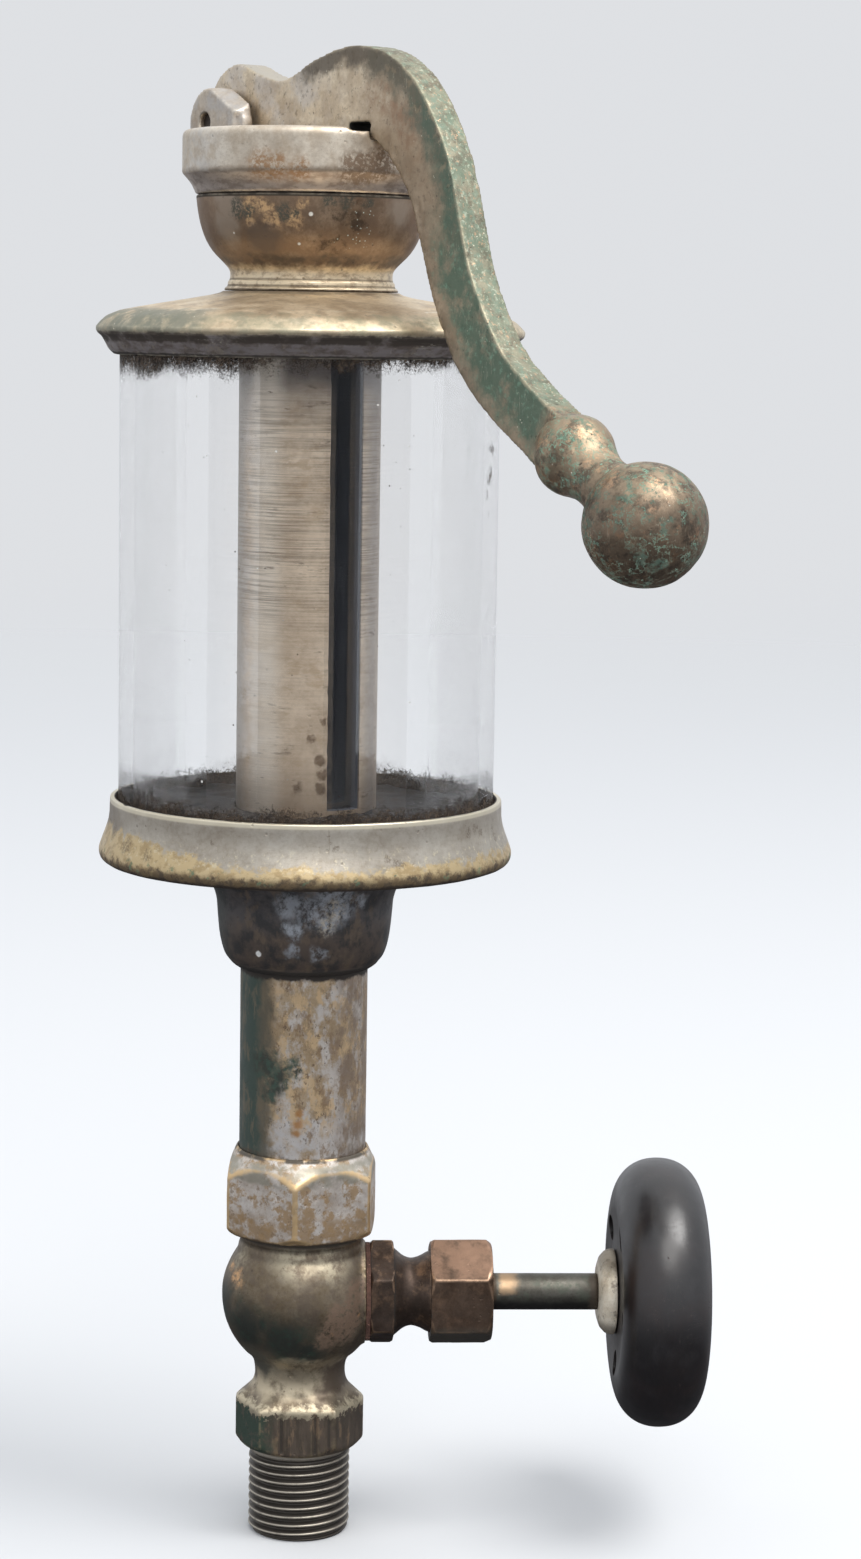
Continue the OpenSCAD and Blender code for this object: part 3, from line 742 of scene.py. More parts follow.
def mat_cup():
    m = Mat("cup_finish_and_shade", (0.53, 0.49, 0.425), 0.95, 0.38)
    w = m.warped(6.0, 1.6, 1)
    w2 = m.warped(2.0, 0.8, 2)
    mottle(m, 2, (0.80, 0.77, 0.74), 6.0, (1, 1, 1.4))
    blot(m, (0.50, 0.45, 0.39), 1.6, 0.60, 0.06, 5, 0.6)
    # the left side of the cup darker: painted shade on that side
    left = m.step(m.side(-145, w), 22, 38)
    m.layer(m.math("MULTIPLY", left, 0.9), (0.19, 0.152, 0.112), 0.85, 0.46)
    # worn through to brass along the lower half, more of it to the left
    level = m.math("ADD", m.axis(2, w), m.step(m.side(-130), 8, 34, 0.0, -3.4))
    gold = m.step(m.math("ADD", level, m.step(m.noise(2.2, 5, 0.7, seed=3), 0.25, 0.75, -1.3, 1.3)), 147.0, 145.3)
    m.layer(gold, (0.62, 0.485, 0.285), 0.95, 0.40)
    blot(m, (0.42, 0.305, 0.165), 2.6, 0.53, 0.06, 6, 0.75, gold, stretch=(1, 1, 1.5))
    blot(m, (0.76, 0.68, 0.50), 1.3, 0.60, 0.05, 7, 0.55, m.z(145.6, 149.6, 0.8, w2), 1.0, 0.32)
    low = m.step(m.math("ADD", m.axis(2, w2), m.step(m.noise(3.0, 5, 0.7, seed=8), 0.3, 0.7, -0.9, 0.9)), 144.9, 143.4)
    m.layer(m.math("MULTIPLY", low, 0.9), (0.19, 0.135, 0.08), 0.7, 0.52)
    blot(m, (0.07, 0.052, 0.036), 1.8, 0.52, 0.06, 9, 0.85, low, 0.4, 0.65)
    blot(m, (0.09, 0.15, 0.09), 2.6, 0.60, 0.04, 10, 0.8, m.z(143.2, 145.4, 0.6, w2), 0.2, 0.7)
    m.layer(m.z(138, 142.7, 0.35, w2), (0.06, 0.046, 0.036), 0.6, 0.55)
    stain(m, [(37.6, 14.2, 151.4, 1.0, 0.3), (36.4, 16.6, 151.8, 0.9, 0.3), (35.4, 18.6, 150.9, 0.8, 0.3), (32.6, 24.2, 149.2, 1.1, 0.4), (33.0, 23.6, 150.8, 0.8, 0.3), (40.4, -7.0, 148.3, 0.7, 0.25), (41.0, -5.1, 147.2, 0.9, 0.3), (41.2, -4.0, 146.7, 0.6, 0.2), (36.6, -16.6, 150.4, 0.7, 0.25), (35.9, -17.8, 152.6, 0.5, 0.2), (36.0, -17.6, 151.4, 0.4, 0.2), (20, -34.6, 150.4, 0.4, 0.2), (6.0, -40.4, 146.4, 1.4, 0.6), (-2, -41, 147.5, 1.6, 0.8), (-10, -39.6, 149.0, 1.6, 0.8)], (0.10, 0.07, 0.045), (1.1, 1.3, 11), 0.85, 0.6, 0.4, 0.6)
    stain(m, [(37.4, -14.8, 150.9, 0.95, 0.3), (37.1, -15.6, 151.9, 0.5, 0.2), (38.0, -13.6, 150.0, 0.5, 0.2), (38.9, -11.9, 148.8, 0.6, 0.25), (26.0, -32.0, 151.0, 0.4, 0.2)], (0.07, 0.21, 0.13), (0.9, 0.9, 13), 0.95, 0.0, 0.1, 0.7)
    crack = m.mul(m.step(m.math("ABSOLUTE", m.vec("DOT_PRODUCT", m.vec("SUBTRACT", m.warped(1.5, 0.5, 15), (35.9, -17.8, 0)), (0.444, 0.896, 0))), 0.22, 0.06), m.z(149.4, 154.2, 0.4))
    m.layer(m.math("MULTIPLY", m.mul(crack, m.step(m.side(-26), 30, 36)), 0.3), (0.14, 0.10, 0.065), 0.5, 0.6)
    rim = m.z(154.0, 155.6, 0.2)
    m.layer(m.math("MULTIPLY", rim, 0.7), (0.86, 0.78, 0.60), 1.0, 0.30)
    rad = m.vec("LENGTH", m.vec("MULTIPLY", m.P, (1, 1, 0)))
    # the inner wall of the rim, in the narrow gap round the glass, painted near black: painted shade between the parts
    m.layer(m.mul(m.step(rad, 39.15, 38.85), m.step(m.axis(2), 150, 153)), (0.02, 0.016, 0.014), 0.1, 0.8)
    # hub below the bowl
    hub = m.step(m.axis(2), 141.4, 139.6)
    hw = m.warped(3.0, 2.4, 16)
    m.layer(hub, (0.125, 0.115, 0.115), 0.75, 0.44)
    m.layer(m.math("MULTIPLY", m.mul(hub, m.step(m.axis(2, hw), 133, 127)), 0.7), (0.155, 0.115, 0.088), 0.75, 0.46)
    blot(m, (0.06, 0.06, 0.062), 5.0, 0.52, 0.10, 17, 0.85, hub)
    blot(m, (0.22, 0.165, 0.12), 2.6, 0.56, 0.07, 18, 0.6, m.mul(hub, m.step(m.side(-30, hw), 9, 15)), stretch=(1, 1, 0.6))
    silver = m.spots([(13.5, -12.3, 135.6, 2.6, 1.8), (17.7, -5.0, 135.6, 4.2, 2.2), (15.6, -9.0, 134.4, 3.0, 2.0), (16.9, -5.5, 131.2, 1.6, 1.0), (13.5, -11.2, 130.0, 1.8, 1.0), (12.5, -11.0, 126.2, 1.4, 0.8), (15.2, -6.8, 125.6, 1.6, 0.9), (17.9, 0.4, 136.4, 1.8, 1.2)], hw)
    silver = m.mul(silver, m.step(m.noise(1.8, 6, 0.74, seed=19, stretch=(1, 1, 0.8)), 0.36, 0.58))
    m.layer(m.mul(silver, hub), (0.56, 0.59, 0.64), 0.85, 0.40)
    cream = m.mul(m.mul(m.spots([(16.9, -5.6, 131.0, 1.6, 1.0), (17.6, -4.2, 134.4, 2.0, 1.2)], m.warped(1.4, 1.6, 20)), m.step(m.noise(1.0, 6, 0.74, seed=33), 0.44, 0.60)), hub)
    m.layer(m.math("MULTIPLY", cream, 0.8), (0.72, 0.64, 0.52), 0.7, 0.45)
    stain(m, [(17.3, -5.2, 134.2, 0.75, 0.2), (15.8, -8.6, 133.0, 1.2, 0.4), (15.7, -8.5, 130.8, 1.1, 0.5), (15.2, -7.8, 128.2, 0.7, 0.4), (14.9, -6.5, 124.3, 0.7, 0.25), (16.4, -7.4, 136.6, 0.8, 0.3)], (0.022, 0.021, 0.02), (1.0, 0.8, 21), 0.95, 0.0, 0.1, 0.65, hub)
    m.layer(m.spots([(6.9, -15.2, 124.9, 0.72, 0.15), (9.3, -16.2, 137.2, 0.35, 0.2)], m.warped(0.8, 0.25, 23)), (0.50, 0.50, 0.49), 0.0, 0.7)
    # the left side of the hub darker: painted shade on that side
    m.layer(m.mul(hub, m.step(m.side(-145, hw), 9, 15)), (0.05, 0.056, 0.052), 0.6, 0.5)
    m.layer(m.z(119, 121.3, 0.4), (0.028, 0.024, 0.021), 0.3, 0.7)
    common(m, 0.55, 0.009, 2.0, 24, brush=(0.35, 0.35, 3.0))
    return m.done()


def mat_barrel():
    m = Mat("barrel_finish_and_shade", (0.60, 0.47, 0.325), 0.92, 0.42)
    w = m.warped(4.0, 2.6, 1)
    mottle(m, 2, (0.80, 0.75, 0.68), 4.0, (1, 1, 0.7))
    blot(m, (0.76, 0.71, 0.665), 4.0, 0.50, 0.07, 5, 0.9, m.step(m.side(10, w), 3.5, 7.5), stretch=(1, 1, 0.7))
    m.layer(m.mul(m.z(81, 91, 2.2, w), m.step(m.noise(3.2, 6, 0.68, seed=6), 0.36, 0.60)), (0.76, 0.725, 0.70), 0.92, 0.40)
    blot(m, (0.78, 0.57, 0.34), 3.4, 0.54, 0.05, 7, 0.85, m.z(88, 118, 3, w), stretch=(1, 1, 0.7))
    blot(m, (0.30, 0.20, 0.12), 3.0, 0.58, 0.05, 8, 0.75, None, 0.85, 0.48, (1, 1, 0.6))
    blot(m, (0.12, 0.085, 0.058), 1.1, 0.62, 0.04, 9, 0.8, None, 0.6, 0.55, (1, 1, 0.7))
    stain(m, [(10.5, -7.9, 89.3, 1.0, 0.7), (10.6, -7.6, 91.6, 0.8, 0.5), (10.2, -8.3, 87.4, 0.7, 0.5)], (0.52, 0.27, 0.11), (1.4, 0.9, 10), 0.8, 0.9)
    # browner mottling on the right side: tarnish, and painted shade on that side
    right = m.step(m.side(55, w), 5.4, 9.2)
    m.layer(m.math("MULTIPLY", m.mul(right, m.step(m.noise(3.0, 5, 0.68, seed=22, stretch=(1, 1, 0.6)), 0.30, 0.60)), 0.85), (0.31, 0.235, 0.18), 0.85, 0.46)
    # darker along the left side and dark green at its very edge: painted shade on that side, with a patina tone at the
    # edge
    left = m.step(m.side(-125, w), 4.6, 7.6)
    m.layer(m.math("MULTIPLY", left, 0.95), (0.125, 0.115, 0.088), 0.7, 0.46)
    deep = m.step(m.side(-125, m.warped(3.0, 1.6, 12)), 7.4, 9.6)
    m.layer(deep, (0.062, 0.088, 0.074), 0.6, 0.46)
    blot(m, (0.20, 0.16, 0.11), 2.4, 0.56, 0.06, 13, 0.6, left, stretch=(1, 1, 0.35))
    # dark green stain that spreads from the left, half way down
    blob = m.spots([(8.7, -9.8, 100.6, 2.0, 1.8), (9.9, -8.8, 102.2, 1.2, 1.2), (6.9, -11.2, 97.6, 2.4, 1.6), (5.1, -12.1, 101.2, 3.2, 1.8), (5.8, -11.8, 95.2, 1.8, 1.4), (10.4, -8.0, 100.2, 0.9, 0.8)], m.warped(1.6, 2.6, 14))
    blob = m.mul(blob, m.step(m.noise(2.4, 6, 0.72, seed=23), 0.22, 0.42))
    blob = m.math("MAXIMUM", blob, m.spots([(7.6, -10.6, 99.4, 2.2, 1.6), (7.0, -11.1, 96.4, 1.8, 1.4)], m.warped(1.8, 1.4, 24)))
    m.layer(blob, (0.042, 0.048, 0.038), 0.4, 0.5)
    m.layer(m.math("MULTIPLY", m.mul(blob, m.step(m.noise(2.0, 4, 0.6, seed=15), 0.46, 0.60)), 0.6), (0.05, 0.095, 0.072), 0.4, 0.5)
    stain(m, [(9.1, -9.4, 112.2, 0.55, 0.2), (10.8, -7.4, 112.7, 0.45, 0.2), (12.5, -3.8, 97.5, 0.5, 0.2), (12.6, -3.2, 97.0, 0.35, 0.15), (13.1, -0.9, 86.5, 0.75, 0.2), (13.1, 0.1, 86.8, 0.6, 0.2), (6.8, -11.3, 83.2, 0.75, 0.2), (7.3, -10.9, 84.3, 0.6, 0.2), (11.8, -5.7, 83.3, 0.4, 0.15), (12.9, 2.2, 91.3, 0.5, 0.2), (11.6, 6.1, 100.8, 0.6, 0.2), (12.0, -5.2, 104.2, 0.3, 0.12), (9.8, -8.6, 105.0, 0.35, 0.15), (12.9, -1.6, 92.6, 0.45, 0.2), (12.2, -4.8, 93.2, 0.35, 0.15), (12.6, 3.2, 108.6, 0.4, 0.2)], (0.028, 0.024, 0.02), (0.9, 0.9, 16), 0.95, 0.0, 0.2, 0.6, None, -0.05)
    m.layer(m.math("MULTIPLY", m.mul(m.z(80, 83.0, 0.3, m.warped(2, 0.5, 18)), m.step(m.noise(3, 4, 0.6, seed=19), 0.42, 0.6)), 0.7), (0.10, 0.075, 0.055), 0.6, 0.55)
    m.layer(m.z(118.9, 121, 0.4, m.warped(2, 0.9, 20)), (0.04, 0.033, 0.028), 0.5, 0.6)
    common(m, 0.7, 0.012, 1.3, 21)
    return m.done()


def mat_coupling():
    m = Mat("coupling_finish", (0.92, 0.86, 0.80), 0.94, 0.40)
    w = m.warped(4.0, 2.0, 1)
    mottle(m, 2, (0.78, 0.74, 0.70), 4.0)
    e = m.attr("edge")
    blot(m, (0.50, 0.345, 0.20), 3.4, 0.535, 0.05, 5, 0.92, None, 0.9, 0.44)
    blot(m, (0.47, 0.32, 0.18), 3.0, 0.47, 0.06, 6, 0.85, m.z(64, 69.5, 1.6, w))
    blot(m, (0.24, 0.165, 0.105), 1.5, 0.60, 0.05, 7, 0.7, None, 0.7, 0.5)
    top = m.mul(m.z(76.6, 80.8, 0.5, m.warped(2.5, 0.9, 8)), m.step(m.noise(4.5, 5, 0.65, seed=9), 0.32, 0.56))
    m.layer(m.math("MULTIPLY", top, 0.9), (0.44, 0.41, 0.335), 0.95, 0.40)
    m.layer(m.mul(m.step(m.side(-145, w), 10.5, 14.0), m.step(m.noise(2.6, 5, 0.65, seed=10), 0.34, 0.60)), (0.36, 0.285, 0.19), 0.9, 0.45)
    gold = m.mul(m.step(e, 0.53, 0.63), m.step(m.noise(2.8, 4, 0.65, seed=11), 0.24, 0.46))
    m.layer(m.math("MULTIPLY", gold, 0.9), (0.80, 0.57, 0.31), 0.95, 0.38)
    stain(m, [(14.2, -7.2, 72.6, 0.45, 0.2), (13.0, -8.4, 74.4, 0.35, 0.15), (6.4, -14.0, 75.0, 0.8, 0.3), (16.6, -1.2, 71.4, 0.3, 0.15)], (0.05, 0.04, 0.035), (0.8, 0.6, 12), 0.9, 0.0, 0.3, 0.6, None, -0.04)
    m.layer(m.z(60, 65.0, 0.35, m.warped(2, 0.6, 13)), (0.10, 0.07, 0.045), 0.6, 0.5)
    m.layer(m.mul(m.z(81.3, 83, 0.25), m.step(m.noise(4, 4, 0.6, seed=14), 0.36, 0.56)), (0.14, 0.12, 0.095), 0.6, 0.55)
    m.layer(m.math("MULTIPLY", m.step(e, 0.44, 0.26), 0.6), (0.05, 0.04, 0.03), 0.4, 0.7)
    common(m, 0.6, 0.011, 1.5, 15)
    return m.done()


def mat_valve():
    m = Mat("valve_body_finish_and_painted_light", (0.25, 0.205, 0.15), 0.88, 0.40)
    w = m.warped(4.0, 2.6, 1)
    mottle(m, 2, (0.72, 0.68, 0.62), 5.0)
    blot(m, (0.15, 0.118, 0.09), 4.0, 0.52, 0.09, 5, 0.8)
    blot(m, (0.13, 0.10, 0.075), 1.4, 0.60, 0.06, 25, 0.6)
    # lighter mottled patches at the top of the globe: painted highlight, broken up by tarnish
    high = m.spots([(10.3, -8.1, 61.4, 4.6, 3.2), (13.1, -1.4, 60.6, 4.0, 3.0), (-3.0, -14.6, 59.0, 3.0, 2.2)], w)
    m.layer(m.math("MULTIPLY", m.mul(high, m.step(m.noise(3.0, 5, 0.65, seed=6), 0.36, 0.58)), 0.9), (0.45, 0.395, 0.29), 0.95, 0.38)
    blot(m, (0.17, 0.135, 0.10), 1.2, 0.585, 0.05, 26, 0.7, high)
    stain(m, [(-1.0, -15.8, 56.4, 1.7, 1.0), (1.2, -16.2, 55.2, 1.3, 0.8), (-4.6, -14.6, 57.4, 1.2, 0.8)], (0.52, 0.31, 0.155), (2.0, 1.6, 7), 0.85, 1.2, 0.9, 0.42)
    # broad dark green-black patch below the left of the globe: tarnish, and painted shade on the globe's lower left
    dark = m.spots([(10.7, -10.6, 43.7, 5.6, 3.4), (3.0, -15.0, 46.0, 5.6, 3.4), (-5.0, -14.6, 49.5, 4.6, 3.0), (11.6, -6.0, 41.0, 4.2, 2.6), (7.6, -12.8, 47.6, 2.6, 2.2)], m.warped(5.0, 2.6, 9))
    m.layer(dark, (0.040, 0.044, 0.037), 0.6, 0.42)
    blot(m, (0.04, 0.075, 0.055), 4.0, 0.54, 0.08, 10, 0.55, dark)
    stain(m, [(16.4, 0.3, 48.0, 4.6, 2.2), (15.4, 3.6, 53.4, 3.0, 1.8), (15.6, -3.2, 44.4, 2.6, 1.6)], (0.17, 0.115, 0.08), (3.4, 2.6, 11), 0.85, 1.8, 0.85, 0.46)
    stain(m, [(16.1, -2.6, 45.4, 0.6, 0.3), (15.2, 4.0, 49.0, 0.5, 0.3)], (0.36, 0.20, 0.10), (1.2, 0.8, 13), 0.8)
    neck = m.mul(m.z(30.5, 39.0, 1.6, w), m.step(m.noise(3.2, 5, 0.65, seed=14), 0.28, 0.56))
    m.layer(m.math("MULTIPLY", neck, 0.9), (0.62, 0.53, 0.385), 0.92, 0.40)
    # the neck darker at its left and right sides: painted shade at the sides
    m.layer(m.mul(m.z(34.5, 41.0, 1.6, w), m.step(m.side(-125, w), 3.0, 7.5)), (0.10, 0.095, 0.075), 0.6, 0.48)
    m.layer(m.mul(m.z(30.5, 38.0, 1.6, w), m.step(m.side(50, w), 3.5, 6.5)), (0.13, 0.10, 0.075), 0.7, 0.48)
    crown = m.math("ADD", m.axis(2), m.step(m.noise(1.6, 5, 0.7, seed=15), 0.3, 0.7, -1.0, 1.2))
    m.layer(m.mul(m.step(crown, 26.9, 27.7), m.step(crown, 30.0, 28.2)), (0.60, 0.52, 0.375), 0.95, 0.38)
    flats = m.mul(m.step(m.axis(2), 18.2, 18.6), m.step(crown, 27.7, 26.9))
    m.layer(flats, (0.155, 0.122, 0.096), 0.82, 0.46)
    blot(m, (0.10, 0.082, 0.064), 2.2, 0.50, 0.09, 16, 0.8, flats, stretch=(1, 1, 0.22))
    blot(m, (0.34, 0.235, 0.15), 2.4, 0.60, 0.05, 17, 0.6, flats, stretch=(1, 1, 0.4))
    m.layer(m.mul(flats, m.mul(m.step(m.side(-110, w), 6.5, 10.5), m.step(m.noise(2.4, 5, 0.65, seed=18), 0.26, 0.50))), (0.030, 0.052, 0.036), 0.4, 0.6)
    wear(m, (0.60, 0.48, 0.30), 19, 0.40, 0.75, (0.035, 0.03, 0.024))
    shank = m.step(m.axis(2), 18.35, 17.9)
    rad = m.vec("LENGTH", m.vec("MULTIPLY", m.P, (1, 1, 0)))
    m.layer(shank, (0.095, 0.084, 0.073), 0.75, 0.48)
    crest = m.mul(m.step(rad, 10.30, 10.56), m.step(m.noise(2.2, 5, 0.65, seed=20), 0.20, 0.50))
    m.layer(m.math("MULTIPLY", m.mul(shank, crest), 0.85), (0.56, 0.51, 0.43), 0.92, 0.38)
    m.layer(m.z(63.2, 65, 0.4), (0.05, 0.04, 0.03), 0.4, 0.7)
    common(m, 0.65, 0.013, 1.5, 21)
    return m.done()


def mat_bronze(name, base, hi, seed, edge_hi=(0.50, 0.33, 0.22), edge=0.5):
    m = Mat(name, base, 0.85, 0.44)
    mottle(m, seed, (0.66, 0.63, 0.60), 3.4)
    blot(m, tuple(c * 0.45 for c in base), 3.2, 0.54, 0.13, seed + 3, 0.75, None, 0.7, 0.5)
    blot(m, hi, 3.4, 0.60, 0.11, seed + 4, 0.5)
    wear(m, edge_hi, seed + 5, edge, 0.8, (0.025, 0.021, 0.018))
    common(m, 0.5, 0.011, 1.4, seed + 8)
    return m


def mat_stem():
    m = Mat("stem_finish_and_shade", (0.145, 0.139, 0.120), 0.9, 0.42)
    w = m.warped(2.0, 1.2, 1)
    mottle(m, 2, (0.66, 0.64, 0.62), 3.0)
    blot(m, (0.095, 0.105, 0.082), 3.0, 0.52, 0.08, 5, 0.8, None, 0.6, 0.5)
    m.layer(m.mul(m.mul(m.step(m.side(58, w), 46.0, 43.4), m.step(m.side(58, w), 40.6, 41.8)), m.step(m.axis(2, m.warped(2.0, 1.2, 6)), 50.6, 52.0)), (0.42, 0.29, 0.18), 0.92, 0.40)
    m.layer(m.step(m.side(58), 41.0, 40.3), (0.09, 0.065, 0.045), 0.6, 0.55)
    # the underside of the stem darker: painted shade below it
    m.layer(m.step(m.axis(2, m.warped(2.0, 0.7, 7)), 50.6, 48.8), (0.026, 0.025, 0.024), 0.6, 0.48)
    m.layer(m.step(m.side(58, w), 59.4, 60.8), (0.08, 0.065, 0.05), 0.6, 0.5)
    common(m, 0.4, 0.010, 1.4, 9)
    return m.done()


def mat_wheel():
    m = Mat("wheel_finish", (0.0085, 0.0072, 0.0080), 0.0, 0.31)
    m.layer(m.step(m.noise(13, 4, 0.55, seed=1), 0.40, 0.68), (0.014, 0.0085, 0.0080), None, 0.30)
    m.layer(m.math("MULTIPLY", m.step(m.noise(6, 5, 0.7, seed=2), 0.46, 0.70), 0.6), (0.017, 0.015, 0.0165), None, 0.36)
    m.rgh = m.math("ADD", m.rgh, m.step(m.noise(7.5, 5, 0.7, seed=3), 0.35, 0.65, -0.03, 0.06))
    # fine hairline scratches and dust
    for st, sd in (((0.06, 1.0, 1.6), 4), ((1.4, 0.08, 1.1), 5), ((1.2, 1.5, 0.07), 6)):
        scratch(m, sd, (0.16, 0.12, 0.105), 0.35, st, 0.9, 0.56, 0.005)
    pit = m.mul(m.step(m.cells(4.6, 9, at=m.warped(1.0, 0.4, 3)), 0.055, 0.03), m.step(m.noise(11, 3, 0.6, seed=10), 0.54, 0.62))
    m.layer(pit, (0.05, 0.035, 0.03), None, 0.7)
    m.height(pit, -0.07)
    stem = m.vec("LENGTH", m.vec("CROSS_PRODUCT", m.vec("SUBTRACT", m.P, (0, 0, 50.7)), (0.52992, 0.84805, 0)))
    m.layer(m.math("MULTIPLY", m.step(stem, 17.5, 11.0), 0.5), (0.045, 0.039, 0.036), None, 0.6)
    m.height(m.noise(0.6, 3, 0.6, seed=11), 0.004)
    m.height(m.noise(9, 3, 0.5, seed=12), 0.05)
    m.p.inputs["Specular IOR Level"].default_value = 0.8
    return m.done()


def mat_lever():
    m = Mat("lever_finish_and_shade", (0.86, 0.745, 0.575), 0.85, 0.46)
    w = m.warped(5.0, 3.5, 1)
    ox = m.attr("outer")
    strip = m.attr("strip")
    along = m.attr("along")
    wander = m.step(m.noise(5, 5, 0.66, seed=40), 0.2, 0.8, -2.4, 2.4)
    at = m.math("ADD", along, m.step(m.noise(9, 4, 0.6, seed=41), 0.2, 0.8, -0.05, 0.05))
    # broad tone of the side: tan at the hub end, browner down the arm
    mottle(m, 2, (0.76, 0.72, 0.67), 6.0)
    m.layer(m.math("MULTIPLY", m.step(at, 0.30, 0.54), 0.85), (0.335, 0.255, 0.18), 0.82, 0.48)
    blot(m, (0.66, 0.62, 0.585), 7.0, 0.50, 0.10, 5, 0.6, m.step(at, 0.34, 0.22))
    blot(m, (0.52, 0.415, 0.30), 5.0, 0.54, 0.09, 6, 0.6)
    blot(m, (0.20, 0.155, 0.115), 1.6, 0.60, 0.06, 42, 0.55)
    # red-brown patch where the side turns down
    patch = m.mul(m.mul(m.step(m.math("ADD", ox, wander), 3.5, 6.5), m.step(m.math("ADD", ox, wander), 14.0, 9.0)), m.mul(m.step(at, 0.36, 0.44), m.step(at, 0.62, 0.52)))
    m.layer(m.math("MULTIPLY", m.mul(patch, m.step(m.noise(4, 6, 0.68, seed=7), 0.36, 0.62)), 0.7), (0.33, 0.20, 0.125), 0.85, 0.46)
    # dark band just inside the outer edge
    high = m.mul(m.step(m.math("ADD", ox, m.math("MULTIPLY", wander, 0.7)), 5.4, 2.4), m.mul(m.step(at, 0.20, 0.27), m.step(at, 0.50, 0.42)))
    m.layer(m.math("MULTIPLY", high, 0.85), (0.092, 0.076, 0.058), 0.6, 0.50)
    near = m.mul(m.step(m.math("ADD", ox, wander), 7.4, 2.6), m.mul(m.step(at, 0.36, 0.43), m.step(at, 0.78, 0.66)))
    m.layer(m.math("MULTIPLY", near, 0.85), (0.145, 0.130, 0.095), 0.6, 0.52)
    blot(m, (0.085, 0.135, 0.098), 4.5, 0.46, 0.14, 8, 0.8, m.mul(near, m.step(at, 0.43, 0.52)), 0.35, 0.58, (1, 1, 0.6))
    blot(m, (0.30, 0.235, 0.155), 2.4, 0.58, 0.06, 9, 0.6, near)
    # the lower arm is green over brown
    lower = m.step(at, 0.60, 0.74)
    blot(m, (0.075, 0.132, 0.092), 6.0, 0.38, 0.14, 10, 0.9, m.mul(lower, m.step(m.math("ADD", ox, wander), 12.0, 7.0)), 0.35, 0.56)
    blot(m, (0.18, 0.31, 0.22), 1.5, 0.60, 0.07, 11, 0.6, m.mul(lower, m.step(m.math("ADD", ox, wander), 14.0, 8.0)), 0.1, 0.7)
    blot(m, (0.16, 0.125, 0.085), 4.0, 0.50, 0.08, 12, 0.7, m.mul(lower, m.step(ox, 9.0, 13.0)), 0.7, 0.5)
    # outer strip: dusty tan over the hub, grey-green down the arm with copper showing
    m.layer(m.mul(strip, m.step(at, 0.40, 0.26)), (0.42, 0.385, 0.325), 0.6, 0.52)
    s = m.mul(strip, m.step(at, 0.28, 0.42))
    m.layer(s, (0.285, 0.265, 0.19), 0.6, 0.50)
    m.layer(m.mul(m.mul(s, m.step(at, 0.40, 0.54)), m.step(m.noise(4.5, 5, 0.68, seed=13), 0.36, 0.62)), (0.165, 0.205, 0.145), 0.3, 0.60)
    blot(m, (0.13, 0.11, 0.078), 3.0, 0.54, 0.08, 14, 0.7, s, 0.6, 0.5)
    blot(m, (0.19, 0.255, 0.19), 1.8, 0.56, 0.06, 43, 0.7, s, 0.15, 0.65)
    blot(m, (0.46, 0.51, 0.39), 0.9, 0.60, 0.05, 15, 0.7, s, 0.1, 0.7)
    blot(m, (0.52, 0.34, 0.22), 1.0, 0.61, 0.04, 16, 0.8, m.mul(s, m.step(at, 0.40, 0.52)), 0.95, 0.38)
    m.layer(m.mul(m.step(m.cells(1.1, 17), 0.15, 0.08), m.mul(strip, m.step(m.noise(6, 3, 0.6, seed=18), 0.46, 0.60))), (0.66, 0.62, 0.48), 0.2, 0.65)
    # bead, neck and ball
    ball = m.attr("ball")
    under = m.mul(ball, m.step(m.axis(2, w), 229, 219))
    m.layer(ball, (0.37, 0.29, 0.20), 0.86, 0.43)
    blot(m, (0.105, 0.084, 0.062), 4.6, 0.53, 0.08, 19, 0.85, ball, 0.75, 0.46)
    blot(m, (0.30, 0.235, 0.155), 2.2, 0.58, 0.07, 20, 0.6, ball)
    blot(m, (0.62, 0.40, 0.245), 4.0, 0.575, 0.05, 21, 0.8, m.mul(ball, m.step(m.noise(0.8, 4, 0.7, seed=22), 0.36, 0.60)), 0.92, 0.38)
    scratch(m, 23, (0.52, 0.36, 0.23), 0.7, (1.0, 0.25, 0.8), 0.8, 0.50, 0.014, ball)
    blot(m, (0.095, 0.19, 0.135), 3.4, 0.56, 0.05, 25, 0.8, m.mul(ball, m.step(m.noise(0.9, 4, 0.7, seed=26), 0.38, 0.56)), 0.1, 0.7)
    # fine threads of verdigris
    thread = m.noise(2.0, 5, 0.6, seed=44)
    thread = m.step(m.math("ABSOLUTE", m.math("SUBTRACT", thread, 0.5)), 0.022, 0.008)
    m.layer(m.math("MULTIPLY", m.mul(m.mul(ball, thread), m.step(m.noise(5.0, 4, 0.6, seed=45), 0.45, 0.57)), 0.85), (0.20, 0.36, 0.26), 0.05, 0.75)
    blot(m, (0.24, 0.42, 0.31), 1.0, 0.62, 0.03, 27, 0.8, m.mul(ball, m.step(m.noise(4.2, 4, 0.6, seed=28), 0.50, 0.58)), 0.05, 0.75)
    # the lower half of the ball tinted darker: painted shade underneath
    m.tint(under, (0.62, 0.60, 0.62))
    scratch(m, 30, (0.72, 0.64, 0.50), 0.30, (1.0, 1.0, 0.14), 1.0, 0.48, 0.007)
    m.layer(m.mul(m.step(m.cells(1.6, 32), 0.10, 0.06), m.step(m.noise(8, 3, 0.6, seed=33), 0.50, 0.62)), (0.60, 0.57, 0.46), 0.1, 0.7)
    wear(m, (0.52, 0.44, 0.31), 34, 0.45, 0.8, (0.045, 0.038, 0.03), 0.40)
    common(m, 0.6, 0.015, 1.5, 36)
    m.height(m.noise(7, 3, 0.5, seed=39), 0.10)
    # the small relief over the rim of the cap, painted near black: painted shade in the relief, with old oil
    gap = m.mul(m.mul(m.step(m.axis(0), 17.3, 17.7), m.step(m.axis(0), 25.4, 25.0)), m.mul(m.step(m.axis(2), 289.7, 289.4), m.step(m.math("ABSOLUTE", m.axis(1)), 3.06, 2.94)))
    m.layer(gap, (0.014, 0.012, 0.011), 0.0, 0.9)
    return m.done()


